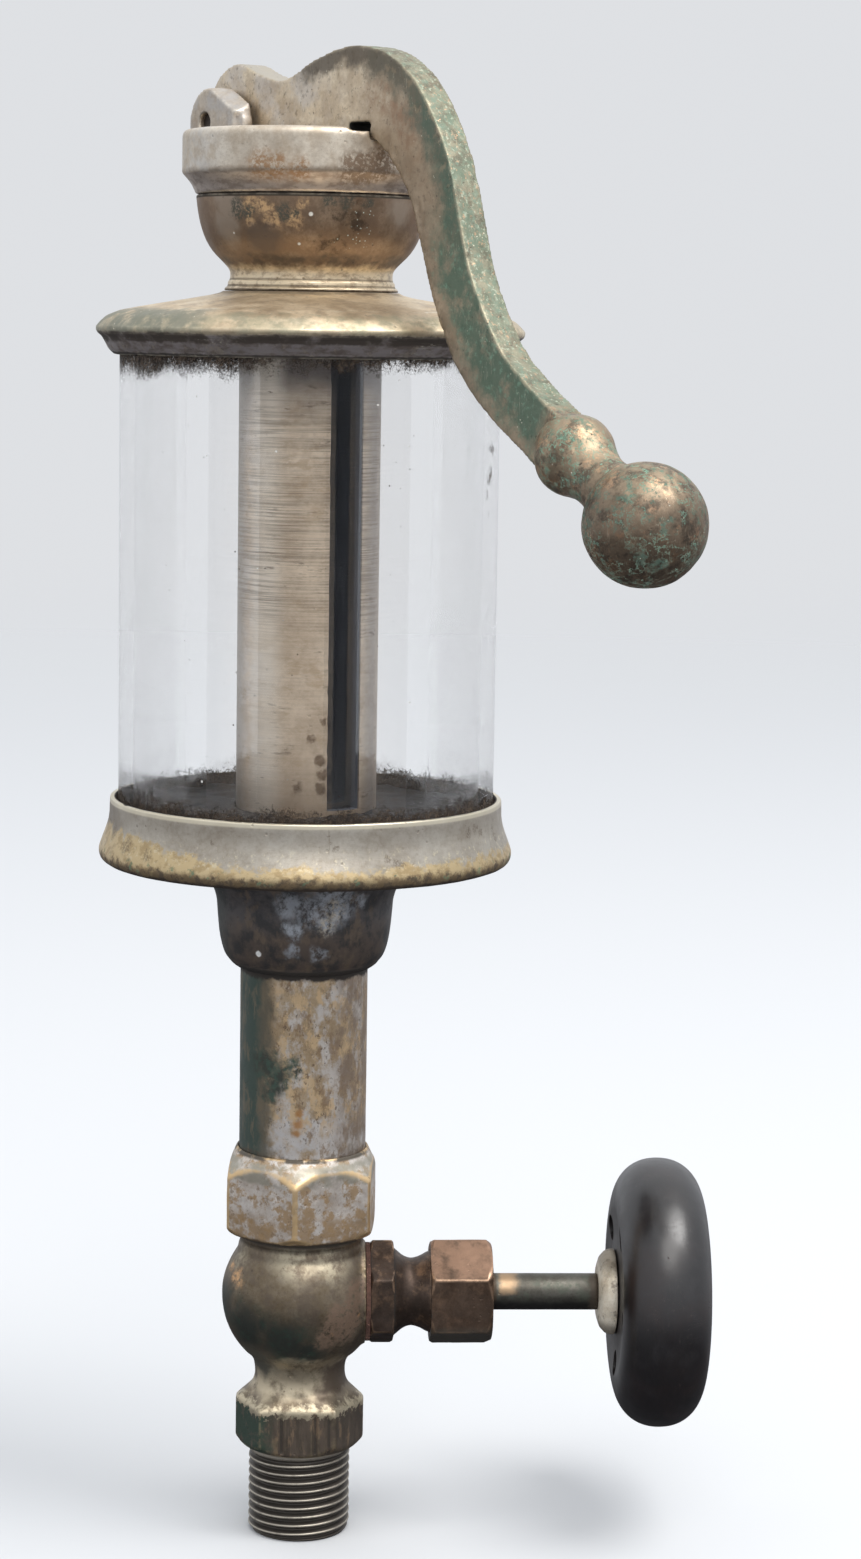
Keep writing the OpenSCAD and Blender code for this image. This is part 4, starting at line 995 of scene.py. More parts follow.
def mat_tube():
    m = Mat("tube_finish_and_painted_light", (0.76, 0.63, 0.485), 0.92, 0.40)
    w = m.warped(7.0, 4.0, 1)
    mottle(m, 2, (0.80, 0.77, 0.74), 7.0, (1, 1, 1.8))
    blot(m, (0.72, 0.68, 0.64), 8.0, 0.50, 0.10, 5, 0.6, m.step(m.side(-145, w), -2, 8))
    blot(m, (0.48, 0.35, 0.225), 6.0, 0.58, 0.06, 6, 0.6, None, 0.9, 0.45, (1, 1, 2.4))
    m.layer(m.math("MULTIPLY", m.step(m.axis(2, w), 168, 152), 0.6), (0.40, 0.285, 0.19), 0.85, 0.48)
    # darker towards the top: painted shade below the sooty top of the glass
    m.layer(m.math("MULTIPLY", m.step(m.axis(2, w), 228, 244), 0.9), (0.24, 0.215, 0.20), 0.8, 0.48)
    m.layer(m.math("MULTIPLY", m.step(m.axis(2, m.warped(4.0, 2.0, 7)), 236, 242), 0.85), (0.10, 0.088, 0.085), 0.6, 0.5)
    # dark at the left edge, a bright band left of the middle and dark again at the right edge: painted shade and a
    # painted highlight across the tube
    sl = m.side(-125)
    m.layer(m.math("MULTIPLY", m.step(sl, 11.2, 13.9), 0.75), (0.22, 0.20, 0.18), 0.85, 0.45)
    m.layer(m.math("MULTIPLY", m.mul(m.step(sl, 3.5, 7.5), m.step(sl, 12.0, 10.0)), 0.55), (0.92, 0.84, 0.72), 0.95, 0.36)
    m.layer(m.math("MULTIPLY", m.step(sl, -10.5, -13.2), 0.6), (0.28, 0.26, 0.25), 0.85, 0.46)
    # turned lines, dark with old oil, deepest in the upper half
    rings = m.noise(0.42, 3, 0.6, seed=8, stretch=(0.012, 0.012, 1.0))
    fine = m.noise(0.22, 2, 0.5, seed=9, stretch=(0.02, 0.02, 1.0))
    zone = m.math("MULTIPLY", m.z(192, 234, 7, w), m.step(m.noise(9, 4, 0.6, seed=10, stretch=(1, 1, 0.5)), 0.28, 0.60))
    line = m.mul(m.step(rings, 0.52, 0.40), m.math("ADD", m.math("MULTIPLY", zone, 0.85), 0.12))
    m.layer(m.math("MULTIPLY", line, 0.65), (0.22, 0.17, 0.125), 0.75, 0.5)
    m.layer(m.math("MULTIPLY", m.mul(m.step(fine, 0.48, 0.38), m.math("ADD", zone, 0.2)), 0.5), (0.24, 0.19, 0.14), 0.8, 0.5)
    m.height(rings, 0.035)
    smears = m.mul(m.step(m.noise(1.6, 5, 0.7, seed=11, stretch=(0.25, 0.25, 1.2)), 0.58, 0.68), m.step(m.noise(9, 3, 0.6, seed=12), 0.44, 0.6))
    m.layer(m.math("MULTIPLY", smears, 0.8), (0.14, 0.10, 0.072), 0.6, 0.6)
    stain(m, [(13.2, -5.3, 164, 1.0, 0.4), (13.4, -4.8, 161, 1.1, 0.4), (13.2, -5.4, 158.4, 1.0, 0.4), (11.0, -9.0, 158.5, 0.9, 0.5), (12.4, -7.0, 168.5, 0.7, 0.3), (13.4, -5.0, 172.0, 0.6, 0.3)], (0.20, 0.135, 0.085), (1.6, 1.2, 13), 0.85, 1.0)
    rad = m.vec("LENGTH", m.vec("MULTIPLY", m.P, (1, 1, 0)))
    # the bore painted dark: painted shade inside the tube
    m.layer(m.step(rad, 14.0, 13.5), (0.12, 0.132, 0.160), 0.2, 0.5)
    common(m, 0.3, 0.008, 1.8, 15)
    return m.done()


def mat_dark_metal(name, color=(0.10, 0.105, 0.115), metal=0.9, rough=0.35, seed=0, specks=True):
    m = Mat(name, color, metal, rough)
    mottle(m, seed, (0.6, 0.6, 0.62), 4.0, (1, 1, 0.5))
    blot(m, tuple(min(1, c * 1.8 + 0.02) for c in color), 5.0, 0.58, 0.06, seed + 3, 0.6)
    if specks:
        m.layer(m.mul(m.step(m.cells(1.5, seed + 4), 0.16, 0.08), m.step(m.noise(8, 3, 0.6, seed=seed + 5), 0.46, 0.58)), (0.62, 0.60, 0.57), 0.0, 0.85)
        blot(m, (0.17, 0.17, 0.17), 2.4, 0.60, 0.06, seed + 12, 0.6, m.step(m.axis(2), 215, 185), 0.1, 0.8)
    common(m, 0.4, 0.010, 1.8, seed + 6)
    return m.done()


def mat_soft(name, color, seed, rough=0.85):
    """Cork, leather and fibre: dull and finely mottled."""
    m = Mat(name, color, 0.0, rough)
    m.tint(m.step(m.noise(1.6, 5, 0.7, seed=seed), 0.35, 0.65), (0.45, 0.42, 0.40), 0.9)
    m.layer(m.step(m.cells(0.7, seed + 1), 0.24, 0.12), tuple(min(1, c * 2.2 + 0.02) for c in color), None, rough)
    m.height(m.noise(0.4, 4, 0.65, seed=seed + 2), 0.05)
    return m.done()


def mat_glass():
    m = Mat("glass_finish_and_sheen", (1.0, 1.0, 1.0), 0.0, 0.02)
    z = m.axis(2)
    grit = m.noise(0.55, 7, 0.78, seed=4)
    # soot below the lip, thicker to the left
    left = m.step(m.side(-145), 8, 34, 0.0, 1.0)
    reach = m.math("ADD", m.step(m.noise(6, 4, 0.6, seed=5), 0.25, 0.75, -1.8, 2.4), m.math("MULTIPLY", left, 2.6))
    down = m.math("ADD", z, reach)
    soot = m.step(m.math("ADD", grit, m.step(down, 235.5, 247.5, -0.42, 0.16)), 0.46, 0.66)
    foot_z = m.math("SUBTRACT", z, m.step(m.noise(5, 4, 0.6, seed=6), 0.25, 0.75, -1.2, 2.6))
    foot = m.step(m.math("ADD", grit, m.step(foot_z, 160.5, 153.0, -0.40, 0.12)), 0.46, 0.66)
    sw = m.warped(2.4, 2.6, 7)
    near = m.spots([(30.4, 23.0, 221.0, 2.6, 3.4), (30.0, 23.6, 226.5, 2.2, 3.2), (30.6, 22.6, 214.0, 1.2, 3.0), (31.6, 21.2, 217.5, 1.6, 3.0)], sw)
    smear = m.step(m.math("ADD", m.noise(0.55, 7, 0.78, seed=8, stretch=(1, 1, 0.35)), m.step(near, 0.0, 1.0, -0.50, 0.085)), 0.46, 0.62)
    spots = m.mul(m.step(m.cells(4.2, 9), 0.045, 0.030), m.step(m.noise(14, 3, 0.6, seed=10), 0.46, 0.60))
    pale = m.mul(m.step(m.cells(5.6, 11), 0.050, 0.030), m.step(m.noise(14, 3, 0.6, seed=12), 0.44, 0.60))
    dark = m.add(m.add(soot, foot), m.add(smear, m.math("MULTIPLY", spots, 0.9)))
    # bluish-white haze and vertical streaks: a film of dust, and painted sky reflections
    streak = m.step(m.noise(2.6, 4, 0.6, seed=2, stretch=(1.5, 1.5, 0.05)), 0.52, 0.72)
    haze_and_sheen = m.math("ADD", m.math("MULTIPLY", streak, 0.045), m.step(m.noise(16, 4, 0.65, seed=3), 0.36, 0.70, 0.005, 0.035))
    haze_and_sheen = m.math("ADD", haze_and_sheen, m.step(z, 178, 152, 0.0, 0.05))
    m.layer(m.math("MULTIPLY", haze_and_sheen, 1.0), (0.80, 0.83, 0.87), None, 0.4)
    m.layer(pale, (0.62, 0.60, 0.56), None, 0.8)
    # where there is any dirt the surface is dull and brown, and its cover is set by the alpha
    dull = m.step(dark, 0.004, 0.03)
    m.layer(m.step(dark, 0.0, 0.004), m.mixc(m.step(m.noise(1.1, 5, 0.7, seed=13), 0.40, 0.62), (0.030, 0.022, 0.017), (0.085, 0.060, 0.042)))
    m.layer(dull, None, None, 0.9)
    # the dirt mask also carries the painted sky reflections of the haze
    dirt = m.add(m.add(haze_and_sheen, pale), dark)
    solid = m.add(m.add(haze_and_sheen, pale), dull)
    rim = m.node("LayerWeight")
    rim.inputs["Blend"].default_value = 0.32
    clear = m.step(rim.outputs["Facing"], 0.10, 1.0, 0.13, 0.62)
    m.put(m.p.inputs["Transmission Weight"], m.inv(solid))
    m.put(m.p.inputs["Alpha"], m.math("MAXIMUM", clear, m.math("MULTIPLY", dirt, 1.0)))
    m.p.inputs["IOR"].default_value = 1.42
    m.height(m.noise(16, 3, 0.5, seed=10, stretch=(1, 1, 0.6)), 0.05)
    return m.done()


def finish(o, body, slot, mat, *nodes):
    o.data.materials.clear()
    o.data.materials.append(mat)
    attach(o, body)
    if nodes:
        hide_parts(*nodes)
    return o


# ---------------------------------------------------------------- pieces
def on_outline(co, line):
    """Distance in millimetres from points in the XZ plane to a polyline, and how far along it."""
    p = co[:, [0, 2]]
    best = np.full(len(p), 1e9)
    place = np.zeros(len(p))
    length = np.concatenate([[0], np.cumsum(np.linalg.norm(np.diff(line, axis=0), axis=1))])
    for i in range(len(line) - 1):
        a, d = line[i], line[i + 1] - line[i]
        t = np.clip(((p - a) @ d) / max(d @ d, 1e-9), 0, 1)
        q = np.linalg.norm(p - a - t[:, None] * d, axis=1)
        near = q < best
        best[near] = q[near]
        place[near] = (length[i] + t * (length[i + 1] - length[i]))[near] / length[-1]
    return best, place


OUTER = [(-33.6, 297.4), (-31.4, 300), (-28.7, 301.6), (-25.9, 302.5), (-23.2, 302.7), (-20.4, 302), (-17.2, 300.8), (-13.5, 299.8), (-9.8, 298.9), (-6.1, 298.8), (-2.8, 299.5), (1.5, 301.1), (6, 302.4), (11.3, 303.5), (17, 304.1), (22.4, 303.9), (26.6, 303.1), (30.4, 302), (34.8, 299.9), (38.7, 297.4), (42.2, 294.1), (45.3, 290.5), (48.2, 286.5), (50.8, 282.2), (52.8, 277.2), (54.7, 271.6), (56.3, 266.8), (58.2, 261.6), (61.2, 256.3), (64.8, 251.1), (69.2, 246), (75, 241.8), (80.6, 238.3), (86.4, 235.2)]


def make_lever():
    o = remeshed("lever", "lever_arm_cast", 0.50, 3)
    co, no = coords(o.data), normals(o.data)
    dist, along = on_outline(co, np.array(spline(OUTER, 3)))
    axis = np.array([math.sin(math.radians(118.5)), 0, math.cos(math.radians(118.5))])
    s = (co - np.array([87.8, 0, 228])) @ axis
    ball = smoothstep(-9.5, -5.0, s) * (co[:, 0] > 70)
    flatness = np.abs(no[:, 1])
    out = (1 - smoothstep(0.55, 0.85, flatness)) * (1 - smoothstep(1.6, 2.6, dist))
    lump = noise(co, 6.0, 3, 3) * 0.13 + noise(co, 1.6, 5, 2) * 0.035
    pits = -0.14 * smoothstep(0.42, 0.62, noise(co, 2.6, 9, 2))
    guard = 1 - (np.hypot(co[:, 0] + 28.4, co[:, 2] - 290.9) < 12) * 0.9
    hub = 1 - (np.hypot(co[:, 0], co[:, 2] - 278.26) < 9) * 0.9
    thin = smoothstep(-22, -6, co[:, 0])
    amount = (lump + pits - 0.06) * guard * hub * (0.25 + 0.75 * thin)
    amount = np.where(co[:, 0] < 16, np.minimum(amount, 0), amount)
    put(o.data, co + no * amount[:, None])
    float_attr(o.data, "outer", dist)
    float_attr(o.data, "along", along)
    float_attr(o.data, "ball", ball)
    float_attr(o.data, "strip", out * (1 - ball))
    mark_edges(o, 1.0, 1)
    return finish(o, "lever_arm", "aged_brass", mat_lever(), "lever")


def make_cap():
    o = remeshed("cap", "cap_cast", 0.50, 3)
    co, no = coords(o.data), normals(o.data)
    amount = noise(co, 5.0, 13, 3) * 0.05 + noise(co, 1.5, 15, 2) * 0.015 - 0.03
    slot = (np.abs(co[:, 1]) < 7.6) & (co[:, 0] < 30)
    put(o.data, co + no * np.where(slot, np.minimum(amount, 0) - 0.01, amount)[:, None])
    mark_edges(o, 1.0, 1)
    return finish(o, "housing", "worn_nickel", mat_cap(), "cap")


def make_valve_body():
    def shrink(co):
        r = np.hypot(co[:, 0], co[:, 1])
        k = np.where((co[:, 2] < 17.95) & (r > 9.9), 9.2 / np.maximum(r, 1e-6), 1)
        co = co.copy()
        co[:, 0] *= k
        co[:, 1] *= k
        return co

    o = remeshed("valve_body", "valve_body_cast", 0.47, 3, shrink)
    co, no = coords(o.data), normals(o.data)
    view = co @ VIEW  # row to front-side frame
    r = np.hypot(co[:, 0], co[:, 1])
    amount = noise(co, 4.5, 23, 3) * 0.07 + noise(co, 1.3, 25, 2) * 0.02 - 0.045
    amount = np.where((r < 9.0) | (co[:, 2] > 61.5) | (co[:, 2] < 18.2), 0, amount)
    # wrench marks on the front flat
    for x, width, depth in ((-3.3, 0.42, 0.62), (3.7, 0.40, 0.55), (6.5, 0.34, 0.45), (-1.0, 0.30, 0.16), (1.6, 0.28, 0.14)):
        on = np.exp(-(((view[:, 0] - x) / width) ** 2)) * (view[:, 1] < -6)
        amount = amount - depth * on * smoothstep(18.6, 19.6, co[:, 2]) * (1 - smoothstep(26.4, 28.2, co[:, 2]))
    put(o.data, co + no * amount[:, None])
    # right-hand pipe thread on the shank
    pitch, crest, depth, n, top = 1.814, 10.6, 1.12, 168, 18.3
    zs = np.linspace(0.0, top, 156)
    th = np.linspace(0, 2 * math.pi, n, endpoint=False)
    zz, tt = np.meshgrid(zs, th, indexing="ij")
    ph = ((zz - pitch * tt / (2 * math.pi)) / pitch) % 1.0
    tri = np.abs(2 * ph - 1)
    bite = smoothstep(0.08, 0.92, tri)
    run = smoothstep(15.9, 18.2, zz)
    rr = crest - depth * (1 - bite) * (1 - run)
    rr = np.minimum(rr, 9.75 + 0.9 * zz)  # turned lead-in
    p = np.stack([rr * np.cos(tt), rr * np.sin(tt), zz], -1).reshape(-1, 3)
    wear = noise(p, 3.0, 31, 3) * 0.05 - 0.04
    rr = rr + wear.reshape(rr.shape)
    outer = np.stack([rr * np.cos(tt), rr * np.sin(tt), zz], -1)
    inner_r = np.full(n, 8.6)
    low = np.stack([inner_r * np.cos(th), inner_r * np.sin(th), np.full(n, 0.0)], -1)
    high = np.stack([inner_r * np.cos(th), inner_r * np.sin(th), np.full(n, top)], -1)
    v = np.vstack([outer.reshape(-1, 3), high, low])
    add_mesh(o, v, grid_faces(len(zs) + 2, n, True).tolist())
    mark_edges(o, 0.9, 1)
    return finish(o, "housing", "aged_brass", mat_valve(), "valve_body")


def make_coupling():
    pts = [(12.9, 64.2), (14.1, 64.2), (15.7, 64.65), (17.4, 66.1), (17.4, 76.5), (16.2, 77.9), (14.8, 79.7), (14.1, 81.0), (13.6, 82.05), (13.12, 82.05), (13.12, 70.35), (12.9, 70.35)]
    o = lathe("coupling_hexagon", pts, True, 0.16, 4, 0.30, rad=hexagon(29.7, 0.9, -7.5, 0.30), thetas=hex_thetas(-7.5, 52))
    bump_out(o, lambda p: np.where(np.hypot(p[:, 0], p[:, 1]) > 13.4, noise(p, 4.0, 41, 3) * 0.06 + noise(p, 1.2, 43, 2) * 0.02 - 0.03, 0))
    mark_edges(o, 1.0, 1)
    return finish(o, "housing", "worn_nickel", mat_coupling(), "coupling")


def make_barrel():
    pts = [(9.5, 70.4), (13.08, 70.4), (13.08, 134), (11.6, 134), (9.5, 132.5)]
    o = lathe("barrel_tube", pts, True, 0.08, 6, 0.7, seg=176)
    bump_out(o, lambda p: np.where((np.hypot(p[:, 0], p[:, 1]) > 12) & (p[:, 2] > 82.5) & (p[:, 2] < 119), noise(p, 5.0, 51, 3) * 0.035 + noise(p, 1.4, 53, 2) * 0.012 - 0.02, 0))
    mark_edges(o, 1.0, 1)
    return finish(o, "housing", "worn_nickel", mat_barrel(), "barrel")


def make_cup():
    outer = spline([(13.7, 119.95), (15, 120.9), (16.3, 122.5), (17.05, 124.5), (17.5, 126.8), (17.75, 129.1), (17.95, 131.6), (18.2, 134.2), (19, 136.6), (20.6, 139.4), (23.4, 143.2), (28, 145), (33.5, 144.6), (37.5, 143.2), (39.3, 142.1), (40.6, 141.9), (41.6, 142.5), (42.1, 143.4), (42.15, 144.4), (41.8, 145.6), (41.3, 146.9), (40.75, 148.4), (40.3, 149.9), (40.05, 151.6), (40, 153.4), (39.95, 154.7)], 5)
    pts = [(13.12, 119.9)] + outer + [(39.8, 155), (38.75, 155), (38.6, 154.8), (38.6, 149.5), (14.32, 149.5), (14.32, 138), (11, 138), (11, 134), (13.12, 134)]
    o = lathe("base_cup_spun", pts, True, 0.14, 6, 1.5, seg=224)

    def dents(p):
        r = np.hypot(p[:, 0], p[:, 1])
        a = noise(p, 9.0, 61, 3) * 0.09 + noise(p, 2.4, 63, 2) * 0.025 - 0.05
        nick = -0.22 * smoothstep(0.45, 0.7, noise(p, 2.4, 65, 2)) * smoothstep(152.8, 154.6, p[:, 2])
        return np.where((r > 13.4) & (p[:, 2] < 155.1) & ((r > 38.9) | (p[:, 2] < 149.0)) & (p[:, 2] > 120.9), a + nick, 0)

    bump_out(o, dents)
    mark_edges(o, 1.2, 0)
    return finish(o, "housing", "worn_nickel", mat_cup(), "base_cup")


def make_cover():
    outer = spline([(39.5, 244.15), (40.4, 245), (40.9, 245.9), (41.4, 246.8), (41.95, 247.6), (42.6, 248.1), (43, 248.8), (43, 249.5), (42.65, 250), (41.9, 250.8), (40.8, 251.7), (39.2, 252.4), (36.8, 253.1), (32.4, 253.9), (26.2, 255), (20.5, 256), (18.4, 256.5)], 5)
    pts = [(14.32, 252.6), (18, 252.6), (26, 251.9), (33, 250.4), (34.6, 249.5), (38.6, 249.5), (38.6, 244.1), (39.2, 243.95)] + outer + [(17.6, 256.85), (14.32, 256.85)]
    o = lathe("cover_spun", pts, True, 0.14, 6, 1.5, seg=224)

    def dents(p):
        r = np.hypot(p[:, 0], p[:, 1])
        a = noise(p, 10.0, 71, 3) * 0.11 + noise(p, 2.6, 73, 2) * 0.025 - 0.06
        return np.where((r > 18) & ((r > 38.9) | (p[:, 2] > 252.8)), a, 0)

    bump_out(o, dents)
    mark_edges(o, 1.2, 0)
    return finish(o, "housing", "aged_brass", mat_cover(), "cover")


def make_bowl():
    outer = spline([(17.4, 256.95), (17.3, 257.5), (16.8, 257.9), (16.75, 258.6), (16.35, 259.2), (16.3, 260.2), (16.5, 261.1), (17.2, 262), (18.2, 263), (19.4, 264.2), (20.4, 265.5), (21.2, 266.9), (21.8, 268.4), (22.25, 269.9), (22.6, 271.5), (22.85, 273.2), (23.05, 274.6)], 5)
    inner = spline([(20, 271.3), (19, 268.4), (17, 265.8), (14.4, 264), (12.2, 262.8)], 4)
    pts = [(14.32, 256.95)] + outer + [(23.1, 275.3), (22.95, 275.65), (20, 275.65)] + inner + [(11.6, 262), (14.32, 262)]
    o = lathe("filler_bowl_cast", pts, True, 0.12, 6, 1.2, seg=192)

    def lumps(p):
        r = np.hypot(p[:, 0], p[:, 1])
        a = noise(p, 4.0, 81, 3) * 0.06 + noise(p, 1.5, 83, 2) * 0.02 - 0.04
        return np.where((r > 16) & (p[:, 2] > 257.2) & (p[:, 2] < 275.2), a, 0)

    bump_out(o, lumps)
    mark_edges(o, 1.0, 0)
    return finish(o, "housing", "aged_brass", mat_bowl(), "filler_bowl")


def make_glass():
    pts = [(35.19, 151.5), (38.19, 151.5), (38.19, 247.5), (35.19, 247.5)]
    o = lathe("sight_glass", pts, True, 0.22, 8, 4.0, seg=224)
    return finish(o, "housing", "clear_glass", mat_glass(), "glass")


def make_tube():
    """Slotted centre tube: an open ring along the slot, closed rings above and below it."""
    zs = np.linspace(153.7, 249.7, 241)
    half = 7.75 / 2
    n = 110
    verts = []
    chip = noise(np.column_stack([zs * 0, zs * 0, zs]), 2.0, 91, 3)
    chip2 = noise(np.column_stack([zs * 0, zs * 0 + 50, zs]), 2.6, 93, 3)
    for z, c, c2 in zip(zs, chip, chip2):
        lo = half + 0.22 * max(c, 0)
        hi = half + 0.12 * max(c2, 0)
        a0, a1 = math.asin(hi / 14.3), 2 * math.pi - math.asin(lo / 14.3)
        b0, b1 = math.asin(half / 11.5), 2 * math.pi - math.asin(half / 11.5)
        ta = np.linspace(a0 + 0.02, a1 - 0.02, n)
        tb = np.linspace(b1, b0, 56)
        ring = [(14.3 * math.cos(t), 14.3 * math.sin(t), z) for t in ta]
        ring = [(14.14 * math.cos(a0), 14.14 * math.sin(a0), z)] + ring + [(14.14 * math.cos(a1), 14.14 * math.sin(a1), z)]
        ring += [(11.5 * math.cos(t), 11.5 * math.sin(t), z) for t in tb]
        verts += ring
    cols = n + 2 + 56
    f = grid_faces(len(zs), cols, False).tolist()
    f.append(list(range(cols)))
    f.append(list(range((len(zs) - 1) * cols, len(zs) * cols))[::-1])
    o = new_object("centre_tube_slotted", verts, f)
    for z0, z1 in ((138.0, 153.75), (249.65, 262.0)):
        v2, f2 = lathe_data(profile([(11.5, z0), (14.3, z0), (14.3, z1), (11.5, z1)], True, 0.05, 8, 2.0), True, seg=120)
        add_mesh(o, v2, f2)
    m = o.data
    m.polygons.foreach_set("use_smooth", np.ones(len(m.polygons), bool))
    sharp_by_angle(o, 40)
    mark_edges(o, 1.0, 0)
    return finish(o, "housing", "worn_nickel", mat_tube(), "centre_tube")


def sharp_by_angle(o, deg):
    """Keeps the shading crisp at corners."""
    bm = bmesh.new()
    bm.from_mesh(o.data)
    lim = math.radians(deg)
    for e in bm.edges:
        e.smooth = not (len(e.link_faces) == 2 and e.calc_face_angle(0.0) > lim)
    bm.to_mesh(o.data)
    bm.free()
    o.data.update()


def make_bonnet():
    neck = spline([(9.2, 19.2), (8.6, 19.9), (7.5, 21.3), (7, 22.9), (7.4, 24.6), (8.1, 25.9)], 5)
    pts = [(6.5, 7), (8.28, 7), (8.28, 14.35), (10.4, 14.35), (11.3, 14.84), (11.3, 18.72), (10.5, 19.2)] + neck + [(8.44, 26.7), (8.44, 34), (6.5, 34), (6.5, 29), (3.86, 29), (3.86, 12), (6.5, 12)]
    o = lathe("bonnet_turned", pts, True, 0.13, 6, 0.6, rad=hexagon(19.5, 0.5, 33, 0.10), thetas=hex_thetas(33, 34), place=STEM)
    bump_out(o, lambda p: noise(p, 3.0, 101, 3) * 0.03 - 0.02)
    mark_edges(o, 1.0, 1)
    m = mat_bronze("bonnet_finish", (0.098, 0.070, 0.056), (0.29, 0.185, 0.12), 3)
    return finish(o, "housing", "aged_brass", m.done(), "bonnet")


def make_packing_nut():
    pts = [(8.52, 26.8), (10.5, 26.8), (11.5, 27.7), (11.5, 38.35), (10, 39.7), (3.95, 39.7), (3.95, 36.52), (8.52, 36.52)]
    o = lathe("packing_nut_hexagon", pts, True, 0.16, 6, 0.6, rad=hexagon(19.7, 0.55, 33, 0.10), thetas=hex_thetas(33, 40), place=STEM)
    bump_out(o, lambda p: noise(p, 3.2, 111, 3) * 0.05 + noise(p, 1.1, 113, 2) * 0.015 - 0.035)
    mark_edges(o, 1.0, 1)
    m = mat_bronze("packing_nut_finish_and_painted_light", (0.165, 0.112, 0.082), (0.28, 0.175, 0.115), 8)
    w = m.warped(2.2, 0.8, 30)
    # lighter copper over the upper facets, broken by mottling: painted light on the upper side
    top = m.mul(m.step(m.axis(2, w), 55.6, 56.8), m.step(m.noise(4.4, 5, 0.66, seed=31), 0.26, 0.56))
    m.layer(m.math("MULTIPLY", top, 0.9), (0.33, 0.205, 0.140), 0.9, 0.42)
    # the lower facets darker: painted shade underneath
    m.layer(m.math("MULTIPLY", m.step(m.axis(2, w), 46.4, 43.8), 0.8), (0.055, 0.055, 0.045), 0.5, 0.52)
    ridge = m.mul(m.z(56.0, 57.1, 0.25), m.step(m.attr("edge"), 0.53, 0.66))
    m.layer(m.math("MULTIPLY", m.mul(ridge, m.step(m.noise(2.4, 4, 0.6, seed=32), 0.30, 0.55)), 0.7), (0.62, 0.42, 0.29), 0.95, 0.34)
    return finish(o, "housing", "aged_brass", m.done(), "packing_nut")


def make_stem():
    pts = [(0, 4.05), (2.5, 4.05), (2.5, 6.05), (3.8, 6.05), (3.8, 61.9), (3.0, 61.9), (3.0, 82.4), (2.5, 83), (0, 83)]
    o = lathe("valve_stem_turned", pts, False, 0.10, 8, 0.9, seg=72, place=STEM)
    bump_out(o, lambda p: noise(p, 4.0, 121, 3) * 0.03 - 0.02)
    mark_edges(o, 1.0, 0)
    return finish(o, "stem_unit", "aged_brass", mat_stem(), "valve_stem")


def make_wheel_washer():
    pts = [(3.02, 61.95), (5.6, 61.9), (7.4, 62.5), (8.5, 63.5), (8.9, 64.5), (8.9, 65.5), (3.02, 65.5)]
    o = lathe("wheel_washer_turned", pts, True, 0.16, 8, 0.7, seg=96, place=STEM)
    mark_edges(o, 1.0, 0)
    m = Mat("washer_finish_and_shade", (0.90, 0.83, 0.70), 0.45, 0.38)
    mottle(m, 2, (0.82, 0.78, 0.72), 2.6)
    blot(m, (0.20, 0.15, 0.11), 2.4, 0.58, 0.07, 5, 0.7, None, 0.7, 0.5)
    # darker towards its top and bottom: painted shade
    m.layer(m.math("MULTIPLY", m.step(m.axis(2, m.warped(2, 1.0, 7)), 47.0, 43.6), 0.7), (0.13, 0.11, 0.09), 0.6, 0.5)
    m.layer(m.math("MULTIPLY", m.step(m.axis(2, m.warped(2, 1.0, 8)), 54.6, 58.2), 0.75), (0.20, 0.165, 0.125), 0.7, 0.5)
    common(m, 0.4, 0.01, 1.4, 5)
    return finish(o, "stem_unit", "worn_nickel", m.done(), "wheel_washer")


def make_wheel():
    lobe = []
    for i in range(121):
        a = math.radians(-90 + 180 * i / 120)
        c, s = math.cos(a), math.sin(a)
        lobe.append((17.7 + 10.2 * abs(c) ** 0.86, 9.1 + 9.1 * abs(s) ** 0.92 * (1 if s >= 0 else -1)))
    pts = [(3.02, 0.25), (8, 0.2), (12, 0.55), (15.5, 0.35)] + lobe + [(15.5, 17.85), (12, 17.6), (8, 17.9), (8, 11), (3.02, 11)]
    pts = [(r, z + 65.5) for r, z in pts]
    o = lathe("handwheel_turned", pts, True, 0.35, 3.2, 1.1, seg=200, place=STEM)
    cutter_v, cutter_f = [], []
    for i in range(5):
        a = math.radians(209 + 72 * i)
        n = 32
        th = np.linspace(0, 2 * math.pi, n, endpoint=False)
        for z in (60.0, 90.0):
            ring = np.stack([15 * math.cos(a) + 2.7 * np.cos(th), 15 * math.sin(a) + 2.7 * np.sin(th), np.full(n, z)], -1)
            cutter_v.append(ring)
        b = i * 2 * n
        cutter_f += [[b + j, b + (j + 1) % n, b + n + (j + 1) % n, b + n + j] for j in range(n)]
        cutter_f += [list(range(b, b + n))[::-1], list(range(b + n, b + 2 * n))]
    v = np.vstack(cutter_v) @ STEM[:3, :3].T + STEM[:3, 3]
    c = new_object("wheel_holes", v, cutter_f)
    fix_normals(c)
    mod = o.modifiers.new("holes", "BOOLEAN")
    mod.operation = "DIFFERENCE"
    mod.object = c
    mod.solver = "EXACT"
    dg = bpy.context.evaluated_depsgraph_get()
    dg.update()
    me = bpy.data.meshes.new_from_object(o.evaluated_get(dg))
    o.modifiers.clear()
    o.data = me
    bpy.data.objects.remove(c)
    me.polygons.foreach_set("use_smooth", np.ones(len(me.polygons), bool))
    sharp_by_angle(o, 38)
    mark_edges(o, 1.0, 0)
    return finish(o, "stem_unit", "black_composition", mat_wheel(), "handwheel")


